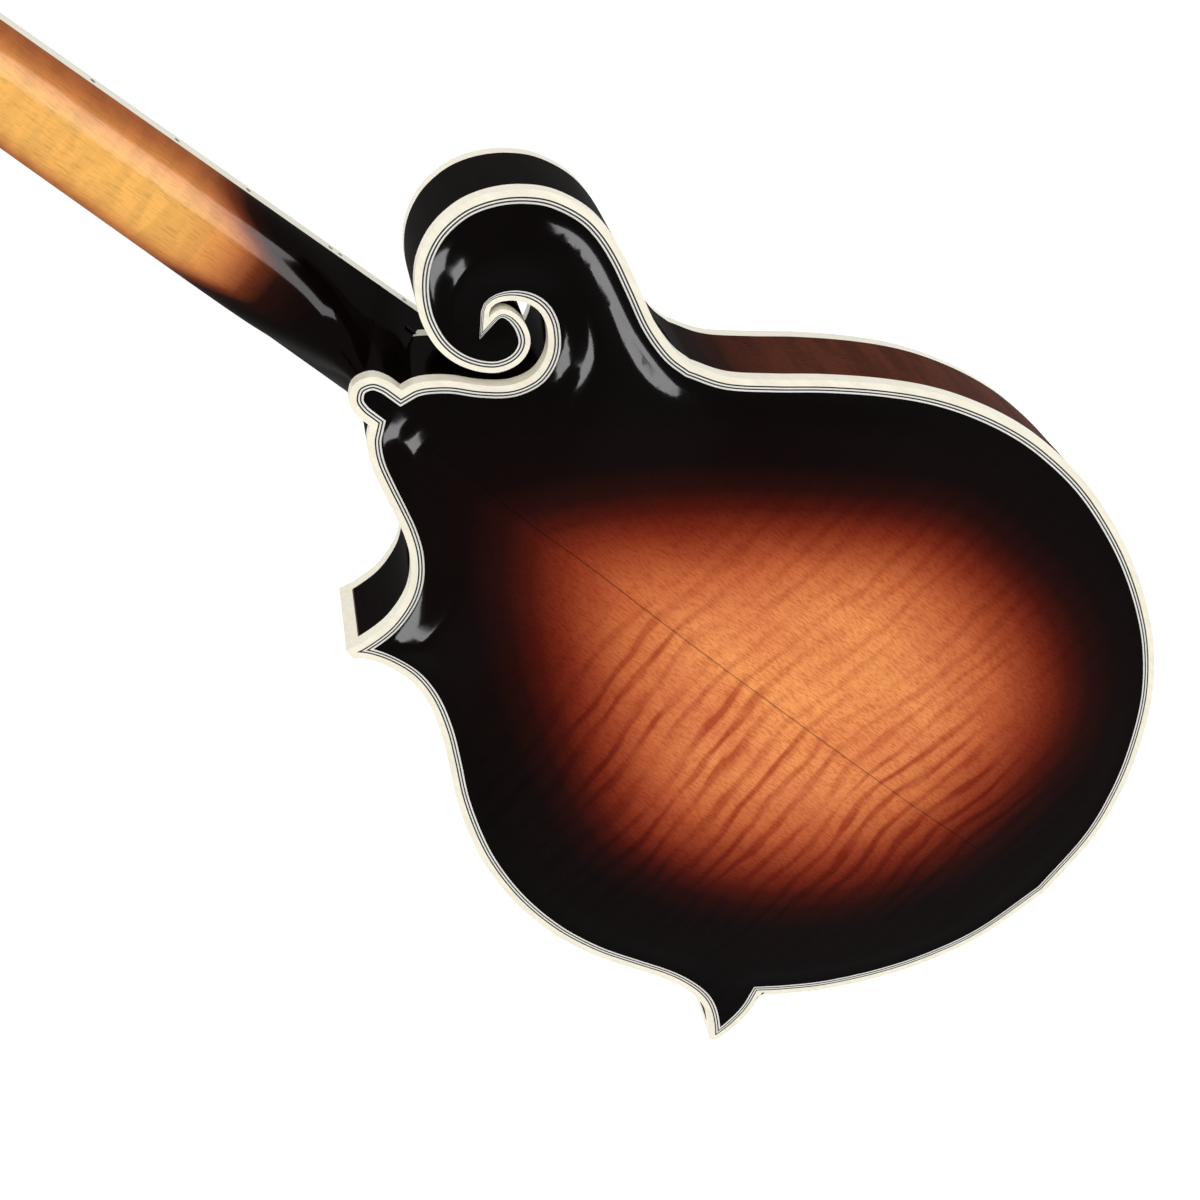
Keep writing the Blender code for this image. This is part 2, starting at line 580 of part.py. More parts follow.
def add_rim(back_loop, rim_loop, rib_lines):
    """Sides in two lengths, bindings and the cream ends of the two points."""
    between_points, round_the_rest = rib_lines
    ribs = []
    for name, line in (("rib_garland", round_the_rest), ("rib_treble", between_points)):
        band = line + inset(line, BINDING_WIDE, False)[::-1]
        ribs.append(add_piece(name, slab([band], -RIB_HALF, RIB_HALF), "rib_maple"))
    low, high = RIM_HALF - BINDING_TALL, RIM_HALF
    add_piece("back_binding", slab([back_loop, inset(back_loop, BINDING_WIDE)], low, high),
              "ivoroid")
    add_piece("top_binding", slab([rim_loop, inset(rim_loop, BINDING_WIDE)], -high, -low),
              "ivoroid")
    for word, tip, outward in (("upper", UPPER_TIP, UPPER_TIP_OUT),
                               ("lower", LOWER_TIP, LOWER_TIP_OUT)):
        keep = add_cutter(f"{word}_tip_keep", tip_box(tip, outward, 0))
        clear = add_cutter(f"{word}_tip_clear", tip_box(tip, outward, FIT_GAP))
        cap = add_piece(f"{word}_point_cap", slab([rim_loop], -RIB_HALF, RIB_HALF), "ivoroid")
        combine(cap, keep, "INTERSECT")
        for rib in ribs:
            combine(rib, clear)
    return ribs[0]


def add_inside(rim_loop, cavity, mortise):
    """Blocks and linings."""
    inner = add_cutter("inner_prism", slab([inset(rim_loop, PLATE_INSET)], -UNDER_PLATE,
                                           UNDER_PLATE))
    depth = RIM_HALF
    end = JOINT_Z + BLOCK_END
    reach = JOINT_Z + 40 * MM
    regions = {
        "neck_block": ((-BLOCK_SPLIT, -depth, end), (100 * MM, depth, reach)),
        "scroll_block": ((-100 * MM, -depth, end), (-BLOCK_SPLIT - FIT_GAP, depth, reach)),
        "tail_block": ((-TAIL_BLOCK_HALF, -depth, 0),
                       (TAIL_BLOCK_HALF, depth, TAIL_RIM_Z + TAIL_BLOCK_LONG)),
        "lower_point_block": ((98 * MM, -depth, JOINT_Z - 285 * MM),
                              (140 * MM, depth, JOINT_Z - 236 * MM)),
    }
    made = {}
    for name, (low, high) in regions.items():
        made[name] = add_piece(name, block(low, high), "bare_mahogany")
        combine(made[name], inner, "INTERSECT")
    combine(made["neck_block"], mortise)
    combine(made["neck_block"], bpy.data.objects["upper_tip_clear"])
    combine(made["lower_point_block"], bpy.data.objects["lower_tip_clear"])
    hollow = add_cutter("cavity_prism", slab([inset(cavity, BINDING_WIDE, False)], -depth, depth))
    combine(made["lower_point_block"], hollow)
    outer = inset(cavity, LINING_INSET, False)
    inner_line = inset(cavity, LINING_INSET + LINING_WIDE, False)
    band = outer + inner_line[::-1]
    add_piece("back_lining", slab([band], UNDER_PLATE - LINING_TALL, UNDER_PLATE), "bare_spruce")
    add_piece("top_lining", slab([band], -UNDER_PLATE, LINING_TALL - UNDER_PLATE), "bare_spruce")
    wide_band = (inset(cavity, BINDING_WIDE, False)
                 + inset(cavity, LINING_INSET + LINING_WIDE + FIT_GAP, False)[::-1])
    for word, side in (("back", 1), ("top", -1)):
        low, high = sorted((side * (UNDER_PLATE - LINING_TALL - FIT_GAP), side * depth))
        clear = add_cutter(f"{word}_lining_clear", slab([wide_band], low, high))
        combine(made["tail_block"], clear)
    pin_hole = add_cutter("pin_hole", rod(PIN_HOLE_RADIUS, (0, 0, -5 * MM), (0, 0, 31 * MM)))
    combine(made["tail_block"], pin_hole)
    combine(bpy.data.objects["rib_garland"], pin_hole)


def add_tone_bars(relief):
    """Two tapered bars under the top, their upper edges fitted to its arch."""
    half_wide = TONE_BAR_THICK / 2
    (first, last), (near, far) = TONE_BAR_ENDS, TONE_BAR_OFF_LINE
    for word, side in (("bass", -1), ("treble", 1)):
        fitted, free = [], []
        for k in range(13):
            share = k / 12
            z = JOINT_Z - first - (last - first) * share
            x = side * (near + (far - near) * share)
            rise = min(relief.height([(x - half_wide, z), (x + half_wide, z)]))
            under = -RIM_HALF - rise + PLATE_THICK + TONE_BAR_CLEAR
            fitted.append((under, z))
            free.append((under + (3 + 7 * math.sin(math.pi * share) ** 0.7) * MM, z))
        bar = add_piece(f"tone_bar_{word}", side_slab(fitted + free[::-1], -half_wide, half_wide),
                        "bare_spruce")
        bar.location = (side * (near + far) / 2, 0, 0)


def board_half(z):
    """Half the fingerboard's width at a place along the neck."""
    return NUT_HALF + (JOINT_HALF - NUT_HALF) * (NUT_Z - z) / NUT_Z


def neck_ring(z, depth, flat, heel, half=None, top=WOOD_TOP, steps=5):
    """One cross-section of the neck: a round back, or a heel's hollow flanks."""
    half = board_half(z) if half is None else half
    side = []
    for k in range(steps + 1):
        share = math.sin(math.pi / 2 * k / steps) * (1 - heel) + k / steps * heel
        round_back = math.sqrt(max(0, 1 - share ** 2))
        flank = (1 - share) ** 1.5
        reach = flat + (half - flat) * (round_back * (1 - heel) + flank * heel)
        side.append((reach, top + (depth - top) * share))
    return [Vector((x, y, z)) for x, y in side] + [Vector((-x, y, z)) for x, y in side[::-1]]


def add_neck(neck_frame, peghead_frame, rim_loop, top_relief):
    """Neck, heel, tenon and peghead in one piece of wood."""
    rings = [neck_ring(z * MM, depth * MM, flat * MM, heel)
             for z, depth, flat, heel in NECK_STATIONS]
    into_peghead = peghead_frame.matrix_basis
    last = neck_ring(14 * MM, 12.4 * MM, 1 * MM, 0, 13 * MM, 0.6 * MM)
    rings.append([into_peghead @ point for point in last])
    neck = add_piece("neck", loft(rings), "neck_maple", neck_frame)
    riser = add_cutter("riser", block(*RISER), neck_frame)
    combine(neck, riser, "UNION")
    outside = inset(rim_loop, -FIT_GAP)
    rim = add_cutter("rim_prism", slab([outside], -RIM_HALF - FIT_GAP, RIM_HALF + FIT_GAP))
    combine(neck, rim)
    combine(neck, add_cutter("arch_clear", carved_plate(rim_loop, top_relief, -1, 12 * MM,
                                                        lift=FIT_GAP)))
    tenon = add_cutter("tenon", tenon_mesh(0))
    combine(neck, tenon, "UNION")
    face = [(x * MM, z * MM) for x, z in PEGHEAD]
    slab_tool = add_cutter("peghead_wood", slab([face], 0, PEGHEAD_THICK), peghead_frame)
    combine(neck, slab_tool, "UNION")
    slot = add_cutter("truss_slot", block(*TRUSS_SLOT), neck_frame)
    combine(neck, slot)
    pocket = add_cutter("truss_pocket", block(*TRUSS_POCKET), neck_frame)
    combine(neck, pocket)
    holes = [rod(POST_HOLE, (side * POST_ROW, -6 * MM, post_z(k)),
                 (side * POST_ROW, 20 * MM, post_z(k)), 8) for side in (-1, 1) for k in range(4)]
    post_holes = add_cutter("post_holes", group(holes), peghead_frame)
    combine(neck, post_holes)
    return pocket, post_holes


def tenon_mesh(gap):
    """The dovetail that holds the neck in its block, wider at its end."""
    rings = []
    front, back = TENON_FRONT - gap, TENON_BACK + gap
    for past, half in TENON_SECTIONS:
        z = JOINT_Z + past - (gap if past < 0 else 0)
        rings.append([Vector((x, y, z)) for x, y in
                      ((half + gap, front), (half + gap, back),
                       (-half - gap, back), (-half - gap, front))])
    return loft(rings)


def post_z(k):
    """How far up the peghead the k-th post of a row stands."""
    return POST_FIRST + k * POST_STEP


def add_peghead_faces(peghead_frame, pocket, post_holes):
    """Overlay, its binding and the truss rod's cover."""
    face = [(x * MM, z * MM) for x, z in PEGHEAD]
    back, front = -FIT_GAP, -FIT_GAP - OVERLAY_THICK
    binding = add_piece("peghead_binding", slab([face, inset(face, PEGHEAD_BINDING)], front, back),
                        "ivoroid", peghead_frame)
    overlay = add_piece("peghead_overlay", slab([inset(face, PEGHEAD_BINDING + FIT_GAP)], front, back),
                        "ebony", peghead_frame)
    foot = add_cutter("overlay_foot", block((-30 * MM, -8 * MM, -5 * MM),
                                            (30 * MM, 3 * MM, 1.2 * MM)), peghead_frame)
    combine(overlay, foot)
    combine(binding, foot)
    combine(overlay, pocket)
    combine(overlay, post_holes)
    bell = smooth_line(TRUSS_COVER, 4)
    shape = [(x * MM, z * MM) for x, z in bell]
    add_piece("truss_rod_cover", slab([shape], front - FIT_GAP - TRUSS_COVER_THICK,
                                      front - FIT_GAP), "ebony", peghead_frame)


def add_truss_rod(neck_frame):
    """Rod in its slot under the fingerboard, with a hexagon nut at the peghead."""
    line = TRUSS_LINE
    rod_end = TRUSS_NUT_Z + 0.62 * TRUSS_NUT_LONG
    add_piece("truss_rod", rod(TRUSS_ROD_RADIUS, (0, line, 9 * MM), (0, line, rod_end), 12),
              "steel", neck_frame)
    nut = add_piece("truss_rod_nut", rod(TRUSS_NUT_RADIUS, (0, 0, 0), (0, 0, TRUSS_NUT_LONG), 6),
                    "brass", neck_frame)
    nut.location = (0, line, TRUSS_NUT_Z)
    bore = add_cutter("truss_nut_bore", rod(TRUSS_ROD_RADIUS + 0.1 * MM,
                                            (0, line, TRUSS_NUT_Z - 1.5 * MM),
                                            (0, line, rod_end + 0.5 * MM), 12), neck_frame)
    combine(nut, bore)


def add_fingerboard(neck_frame):
    """Board with its frets, bound on three sides."""
    curve = [(x, z) for z, x in smooth_line([(z * MM, x * MM) for z, x in BOARD_END], 5 * MM)]
    foot = NUT_Z - FIT_GAP
    outer = [(board_half(foot), foot)] + curve[::-1] + [(-board_half(foot), foot)]
    outer = outer[::-1]
    within = inset(outer, BOARD_BINDING, False)
    add_piece("fingerboard_binding", slab([outer + within[::-1]], 0, BOARD_THICK), "ivoroid",
              neck_frame)
    wood = inset(outer, BOARD_BINDING + FIT_GAP, False)
    board = add_piece("fingerboard", slab([wood], 0, BOARD_THICK), "ebony", neck_frame)
    bars = []
    for k in range(1, FRET_COUNT + 1):
        z = NUT_Z - SCALE_LENGTH * (1 - 2 ** (-k / 12))
        reach = board_half(z) - BOARD_BINDING - FRET_SHORT
        bars.append(block((-reach, -FRET_PROUD, z - FRET_HALF), (reach, FRET_SUNK, z + FRET_HALF)))
    frets = add_cutter("frets", group(bars), neck_frame)
    combine(board, frets, "UNION")


def circle(radius, count, notch=0.0):
    """Points round the origin; with a notch, every second one lies that much further in."""
    return [((radius - notch * (k % 2)) * math.cos(2 * math.pi * k / count),
             (radius - notch * (k % 2)) * math.sin(2 * math.pi * k / count)) for k in range(count)]


def side_slab(points, low, high):
    """An outline in Y and Z as a solid from low to high along X."""
    build = bmesh.new()
    build.from_mesh(slab([points], low, high))
    turn = Matrix(((0, 1, 0, 0), (1, 0, 0, 0), (0, 0, 1, 0), (0, 0, 0, 1)))
    bmesh.ops.transform(build, matrix=turn, verts=build.verts)
    return finish_mesh(build)


def add_nut(neck_frame):
    """Bone nut whose top falls away behind the strings."""
    back = NUT_Z + NUT_LONG
    shape = [(WOOD_TOP - FIT_GAP, NUT_Z), (NUT_FRONT, NUT_Z), (NUT_BACK, back),
             (WOOD_TOP - FIT_GAP, back)]
    nut = add_piece("nut", side_slab(shape, -NUT_HALF, NUT_HALF), "bone", neck_frame)
    slots = []
    for x, diameter in zip(NUT_COURSES, STRING_DIAMETERS):
        half = diameter / 2 + STRING_LIFT
        slots.append(block((x * MM - half, -4 * MM, NUT_Z - 1 * MM),
                           (x * MM + half, -NUT_SLOT, back + 1 * MM)))
        slots[-1].transform(Matrix.Translation((0, 0, NUT_Z))
                            @ Matrix.Rotation(-NUT_SLOT_FALL, 4, "X")
                            @ Matrix.Translation((0, 0, -NUT_Z)))
    combine(nut, add_cutter("nut_slots", group(slots), neck_frame))


def saddle_height(x):
    """How far the saddle's crest stands over the rim plane, lower towards its ends."""
    drop = 0.5 * MM * (min(abs(x), 24 * MM) / (21 * MM)) ** 2
    return SADDLE_TOP - drop - 3.6 * MM * float(eased((abs(x) - 30 * MM) / (22 * MM)))


def add_bridge(relief):
    """Two-footed base, posts, thumbwheels and the saddle that they lift."""
    half, thick = BRIDGE_BASE_HALF, BRIDGE_BASE_THICK / 2

    def base_under(x):
        rise = max(relief.height([(x, BRIDGE_Z + side * thick) for side in (-1, 0, 1)]))
        return -(RIM_HALF + rise + FIT_GAP)

    lower, upper = [], []
    for k in range(17):
        x = half * (k / 8 - 1)
        lift = BRIDGE_ARCH * eased((half - BRIDGE_FOOT - abs(x)) / (8 * MM))
        lower.append((x, base_under(x) - float(lift)))
        share = abs(x) / half
        tall = BRIDGE_BASE_TALL - 0.4 * MM * share ** 2 - 3 * MM * eased((share - 0.78) / 0.22)
        upper.append((x, -(RIM_HALF + TOP_CROWN + float(tall))))
    build = bmesh.new()
    build.from_mesh(slab([lower + upper[::-1]], -thick, thick))
    turn = Matrix(((1, 0, 0, 0), (0, 0, 1, 0), (0, 1, 0, BRIDGE_Z), (0, 0, 0, 1)))
    bmesh.ops.transform(build, matrix=turn, verts=build.verts)
    base = add_piece("bridge_base", finish_mesh(build), "ebony")
    deck = -(RIM_HALF + TOP_CROWN + BRIDGE_BASE_TALL)
    wheel_low = deck - THUMBWHEEL_LIFT
    saddle_low = wheel_low - WHEEL_TALL - FIT_GAP
    rings = []
    for share in (-1, -0.88, -0.7, -0.5, -0.25, 0, 0.25, 0.5, 0.7, 0.88, 1):
        x = share * SADDLE_HALF
        crest = RIM_HALF + saddle_height(x)
        shoulder = (crest - saddle_low) * 0.5 + 1 * MM
        rings.append([Vector((x, -y, BRIDGE_Z + z)) for y, z in
                      ((crest, -0.5 * MM), (crest, 0.5 * MM), (shoulder, 3 * MM),
                       (-saddle_low, 3.4 * MM), (-saddle_low, -3.4 * MM), (shoulder, -3 * MM))])
    saddle = add_piece("bridge_saddle", loft(rings), "ebony")
    bore_radius = BRIDGE_POST_RADIUS + BRIDGE_POST_CLEAR
    for word, side in (("bass", -1), ("treble", 1)):
        x = side * BRIDGE_POST_X

        def along(radius, start, end):
            return rod(radius, (x, start, BRIDGE_Z), (x, end, BRIDGE_Z), 10)

        add_piece(f"bridge_post_{word}",
                  along(BRIDGE_POST_RADIUS, deck + 3.5 * MM, saddle_low - 4 * MM), "brass")
        seat = add_cutter(f"post_seat_{word}", along(bore_radius, deck + 3.8 * MM, deck - 2 * MM))
        combine(base, seat)
        bore = add_cutter(f"saddle_bore_{word}",
                          along(bore_radius, saddle_low + 2 * MM, saddle_low - 5.6 * MM))
        combine(saddle, bore)
        outline = circle(THUMBWHEEL_RADIUS, THUMBWHEEL_CORNERS, THUMBWHEEL_NOTCH)
        wheel = add_piece(f"thumbwheel_{word}",
                          slab([outline, circle(bore_radius, 10)], -WHEEL_TALL, 0), "nickel")
        wheel.location = (x, wheel_low, BRIDGE_Z)


def add_tailpiece():
    """Base screwed over the tail, with hooks for the strings, and the cover that slides off."""
    rim = -RIM_HALF
    outer = TAIL_RIM_Z - FIT_GAP
    thick = 1.2 * MM
    lift = rim - FIT_GAP
    path = [(rim + 13 * MM, outer), (lift, outer), (lift - 3 * MM, outer + 2 * MM),
            (rim - 12.5 * MM, 26 * MM), (rim - 13.5 * MM, 46 * MM), (rim - 13.5 * MM, 64 * MM)]
    back = [(rim + 13 * MM, outer - thick), (lift - 0.4 * MM, outer - thick),
            (lift - 3.9 * MM, outer + 1.1 * MM), (rim - 13.6 * MM, 25.4 * MM),
            (rim - 14.7 * MM, 45.8 * MM), (rim - 14.7 * MM, 64 * MM)]
    base = add_piece("tailpiece_base", side_slab(path + back[::-1], -18 * MM, 18 * MM), "nickel")
    pegs = [rod(1 * MM, (hook_x(k), rim - 13 * MM, HOOK_Z + 4 * MM),
                (hook_x(k), rim - 17.5 * MM, HOOK_Z + 4 * MM), 6) for k in range(8)]
    hooks = add_cutter("hooks", group(pegs))
    combine(base, hooks, "UNION")
    build = bmesh.new()
    bmesh.ops.create_cube(build, size=1)
    bmesh.ops.scale(build, vec=COVER_SIZE, verts=build.verts)
    bmesh.ops.translate(build, vec=COVER_MIDDLE, verts=build.verts)
    open_faces = [f for f in build.faces if f.normal.y > 0.5 or f.normal.z > 0.5]
    bmesh.ops.delete(build, geom=open_faces, context="FACES")
    hard = [e for e in build.edges if len(e.link_faces) == 2]
    bmesh.ops.bevel(build, geom=hard, offset=COVER_CORNER, segments=3, affect="EDGES", profile=0.5)
    mesh = bpy.data.meshes.new("cover")
    build.to_mesh(mesh)
    build.free()
    cover = add_piece("tailpiece_cover", mesh, "nickel")
    shell = cover.modifiers.new("thickness", "SOLIDIFY")
    shell.thickness = COVER_THICK
    shell.offset = -1


def hook_x(k):
    return (k - 3.5) * HOOK_STEP


def add_end_pin():
    profile = [(0, 0), (5.4, 0), (6, 0.8), (5.8, 2.6), (3.8, 4.4), (3.2, 8), (5.2, 10.8),
               (5.2, 11.6), (4, 11.6), (3.4, 30), (0, 30)]
    points = [(radius * MM, height * MM) for radius, height in profile]
    turned("end_pin", [(r, -h) for r, h in points], "ebony", 12, turn=(math.pi, 0, 0))


def add_tuners(peghead_frame):
    """Plates, string posts with worm wheels, and buttons on worm shafts."""
    plate_low = PEGHEAD_THICK + FIT_GAP
    plate_high = plate_low + TUNER_PLATE_THICK
    wheel_low = plate_high + FIT_GAP
    wheel_mid = wheel_low + WHEEL_THICK / 2
    for side, word in ((-1, "bass"), (1, "treble")):
        inner, outer = POST_ROW - PLATE_REACH[0], POST_ROW + PLATE_REACH[1]
        low, high = sorted((side * inner, side * outer))
        plate = add_piece(f"tuner_plate_{word}",
                          block((low, plate_low, POST_FIRST - PLATE_ENDS[0]),
                                (high, plate_high, post_z(3) + PLATE_ENDS[1])), "nickel",
                          peghead_frame)
        ears, bores = [], []
        for k in range(4):
            z = post_z(k) - WORM_DROP
            for place in EAR_PLACES:
                near = POST_ROW + place
                a, b = sorted((side * near, side * (near + EAR_THICK)))
                ears.append(block((a, plate_low + 0.5 * MM, z - EAR_HALF),
                                  (b, wheel_mid + 2.2 * MM, z + EAR_HALF)))
            bores.append(rod(SHAFT_RADIUS + 0.3 * MM, (side * (inner - 2 * MM), wheel_mid, z),
                             (side * (outer + 2 * MM), wheel_mid, z), 6))
            bores.append(rod(POST_HOLE, (side * POST_ROW, 0, post_z(k)),
                             (side * POST_ROW, 20 * MM, post_z(k)), 8))
        combine(plate, add_cutter(f"plate_ears_{word}", group(ears), peghead_frame), "UNION")
        combine(plate, add_cutter(f"plate_bores_{word}", group(bores), peghead_frame))
    for k, (side, row) in enumerate(STRING_POSTS):
        add_post(f"string_post_{k + 1}", side, post_z(row), wheel_low, peghead_frame)
        add_worm_button(f"tuner_button_{k + 1}", side, post_z(row) - WORM_DROP, wheel_mid,
                        peghead_frame)


def add_post(name, side, z, wheel_low, peghead_frame):
    """A string post with its toothed wheel behind the peghead."""
    teeth = []
    pitch = 2 * math.pi / WHEEL_TEETH
    for tooth in range(WHEEL_TEETH):
        for radius, turn in ((WHEEL_RADIUS - 1.1 * MM, 0), (WHEEL_RADIUS, 0.5)):
            angle = pitch * (tooth + turn)
            teeth.append((radius * math.cos(angle), radius * math.sin(angle)))
    high = wheel_low + WHEEL_THICK
    build = bmesh.new()
    build.from_mesh(slab([teeth, circle(POST_RADIUS, 8)], wheel_low, high))
    bore = [face for face in build.faces
            if all(math.hypot(v.co.x, v.co.z) < 1.01 * POST_RADIUS for v in face.verts)]
    bmesh.ops.delete(build, geom=bore, context="FACES")
    for from_level, end in ((wheel_low, -POST_PROUD), (high, high + 1.2 * MM)):
        open_edges = [edge for edge in build.edges if edge.is_boundary
                      and all(abs(v.co.y - from_level) < 0.1 * MM for v in edge.verts)]
        grown = bmesh.ops.extrude_edge_only(build, edges=open_edges)["geom"]
        for vert in grown:
            if isinstance(vert, bmesh.types.BMVert):
                vert.co.y = end
        bmesh.ops.contextual_create(build, geom=[e for e in grown
                                                 if isinstance(e, bmesh.types.BMEdge)
                                                 and e.is_boundary])
    post = add_piece(name, finish_mesh(build), "brass", peghead_frame)
    post.location = (side * POST_ROW, 0, z)


def add_worm_button(name, side, z, height, peghead_frame):
    """Worm, shaft and button along X in one loft: the worm's section runs off centre and turns."""
    rings = []
    for x, deep, tall, offset, turn in WORM_SECTIONS:
        ring = []
        for k in range(8):
            angle = 2 * math.pi * (k + 0.5) / 8
            ring.append(Vector((side * x * MM,
                                (deep * math.cos(angle) + offset * math.cos(turn)) * MM,
                                (tall * math.sin(angle) + offset * math.sin(turn)) * MM)))
        rings.append(ring)
    button = add_piece(name, loft(rings), "pearl_button", peghead_frame)
    button.location = (side * POST_ROW, height, z)


def string_winding(start, post, radius, side):
    """The string's run to its post and its turns round it, in the peghead's frame."""
    reach = POST_RADIUS + FIT_GAP + radius
    touch = Vector((post.x - side * reach, post.z))
    origin = Vector((start.x, start.z))
    centre = Vector((post.x, post.z))
    for _ in range(6):
        along = (touch - origin).normalized()
        touch = centre + reach * side * Vector((-along.y, along.x))
    first = math.atan2(touch.y - centre.y, touch.x - centre.x)
    pitch = 2 * radius + WINDING_CLEAR
    points = []
    for k in range(round(WINDING_TURNS * WINDING_POINTS) + 1):
        turn = k / WINDING_POINTS
        angle = first - side * 2 * math.pi * turn
        points.append(Vector((centre.x + reach * math.cos(angle), -9.5 * MM + pitch * turn,
                              centre.y + reach * math.sin(angle))))
    return points


def add_strings(neck_frame, peghead_frame):
    """Each string runs from its hook over saddle and nut and winds round its post."""
    bpy.context.view_layer.update()
    to_world = peghead_frame.matrix_world
    from_world = to_world.inverted()
    least = 1.0
    for k, name in enumerate(STRING_NAMES):
        radius = STRING_DIAMETERS[k] / 2
        side, row = STRING_POSTS[k]
        hook = Vector((hook_x(k), -RIM_HALF - 15.6 * MM, HOOK_Z + 6 * MM))
        lip = Vector((hook_x(k) * 1.02, -RIM_HALF - 17 * MM, 66 * MM))
        x = BRIDGE_COURSES[k] * MM
        crest = Vector((x, -RIM_HALF - saddle_height(x) - radius - STRING_LIFT, BRIDGE_Z))
        over = Vector((NUT_COURSES[k] * MM, -NUT_SLOT - radius - STRING_LIFT, NUT_Z))
        behind = over + Vector((0, NUT_LONG * math.tan(STRING_FALL), NUT_LONG))
        nut, nut_end = (neck_frame.matrix_world @ point for point in (over, behind))
        post = Vector((side * POST_ROW, 0, post_z(row)))
        turns = string_winding(from_world @ nut_end, post, radius, side)
        least = min(least, least_gap(turns, radius))
        points = [hook, lip, crest, nut, nut_end] + [to_world @ point for point in turns]
        wire = bpy.data.curves.new(f"string_{name}", "CURVE")
        wire.dimensions = "3D"
        wire.bevel_depth = radius
        wire.bevel_resolution = 0
        wire.use_fill_caps = True
        line = wire.splines.new("POLY")
        line.points.add(len(points) - 1)
        for spot, place in zip(line.points, points):
            spot.co = (*place, 1)
        finish = "string_bronze" if k < 4 else "string_steel"
        wire.materials.append(materials[finish])
        string = bpy.data.objects.new(f"string_{name}", wire)
        parts.objects.link(string)
    print(f"least gap of a winding to itself: {least / MM:.2f} mm")


def least_gap(points, radius):
    """Least space between two turns of one winding."""
    gap = 1.0
    for k in range(len(points)):
        for j in range(k + WINDING_POINTS // 2, len(points)):
            gap = min(gap, (points[k] - points[j]).length - 2 * radius)
    return gap


def main():
    start_scene()
    add_materials()
    waist = [plan(SLOT_OUTER, FINE_STEP), plan(SCROLL, FINE_STEP), plan(BASS_BOUT, WIDE_STEP),
             plan(TREBLE_TAIL, WIDE_STEP), plan(LOWER_POINT_UNDER, MIDDLE_STEP),
             plan(TREBLE_BOUT, MIDDLE_STEP), plan(UPPER_POINT_OVER, MIDDLE_STEP)]
    rim_loop = joined(*waist)
    back_loop = joined(plan(BUTTON, FINE_STEP), *waist)
    cavity = joined(waist[2], plan(TREBLE_CAVITY, WIDE_STEP))
    back_relief, top_relief = Relief(rim_loop, BACK_CROWN), Relief(rim_loop, TOP_CROWN)
    neck_frame = add_frame("neck_frame", (0, -RIM_HALF - BOARD_RISE, JOINT_Z), -NECK_ANGLE)
    peghead_frame = add_frame("peghead_frame", (0, WOOD_TOP, NUT_Z + NUT_LONG + FIT_GAP),
                              -PEGHEAD_ANGLE, neck_frame)
    mortise = add_cutter("mortise", tenon_mesh(FIT_GAP))
    add_plates(back_loop, rim_loop, back_relief, top_relief)
    ribs = add_rim(back_loop, rim_loop, (waist[5], joined(waist[6], *waist[:5])))
    combine(ribs, mortise)
    add_inside(rim_loop, cavity, mortise)
    add_tone_bars(top_relief)
    pocket, post_holes = add_neck(neck_frame, peghead_frame, rim_loop, top_relief)
    add_peghead_faces(peghead_frame, pocket, post_holes)
    add_truss_rod(neck_frame)
    add_fingerboard(neck_frame)
    add_nut(neck_frame)
    add_bridge(top_relief)
    add_tailpiece()
    add_end_pin()
    add_tuners(peghead_frame)
    add_strings(neck_frame, peghead_frame)


main()
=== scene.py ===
"""Looks of the f-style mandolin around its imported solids.

Metres, in the row frame: +Z up the body to the neck, back towards +Y, top towards -Y.
Plan points are millimetres as seen from the back, measured from the neck joint.
"""
import json
import math

import bmesh
import bpy
import numpy as np
from mathutils import Matrix, Vector
from mathutils.geometry import delaunay_2d_cdt, intersect_line_line_2d

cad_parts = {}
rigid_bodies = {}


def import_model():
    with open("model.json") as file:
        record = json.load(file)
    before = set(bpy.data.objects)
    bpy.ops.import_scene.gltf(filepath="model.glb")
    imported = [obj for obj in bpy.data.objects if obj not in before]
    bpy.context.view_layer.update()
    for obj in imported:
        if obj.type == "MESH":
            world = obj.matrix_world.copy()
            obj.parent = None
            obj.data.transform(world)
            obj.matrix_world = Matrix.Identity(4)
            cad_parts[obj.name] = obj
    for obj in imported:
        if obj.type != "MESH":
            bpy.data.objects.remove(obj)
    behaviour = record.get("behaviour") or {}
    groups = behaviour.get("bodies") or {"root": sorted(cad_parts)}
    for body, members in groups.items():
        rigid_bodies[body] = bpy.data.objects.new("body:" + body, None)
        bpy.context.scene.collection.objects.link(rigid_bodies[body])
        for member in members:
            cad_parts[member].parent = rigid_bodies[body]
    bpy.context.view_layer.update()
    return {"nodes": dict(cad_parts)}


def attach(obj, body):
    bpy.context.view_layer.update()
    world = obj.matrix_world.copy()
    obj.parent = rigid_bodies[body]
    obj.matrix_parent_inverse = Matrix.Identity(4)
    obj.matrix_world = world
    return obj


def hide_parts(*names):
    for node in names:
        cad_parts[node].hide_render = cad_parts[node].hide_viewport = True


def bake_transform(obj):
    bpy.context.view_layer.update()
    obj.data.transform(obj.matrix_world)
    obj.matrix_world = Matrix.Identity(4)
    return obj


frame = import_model()
nodes = frame["nodes"]

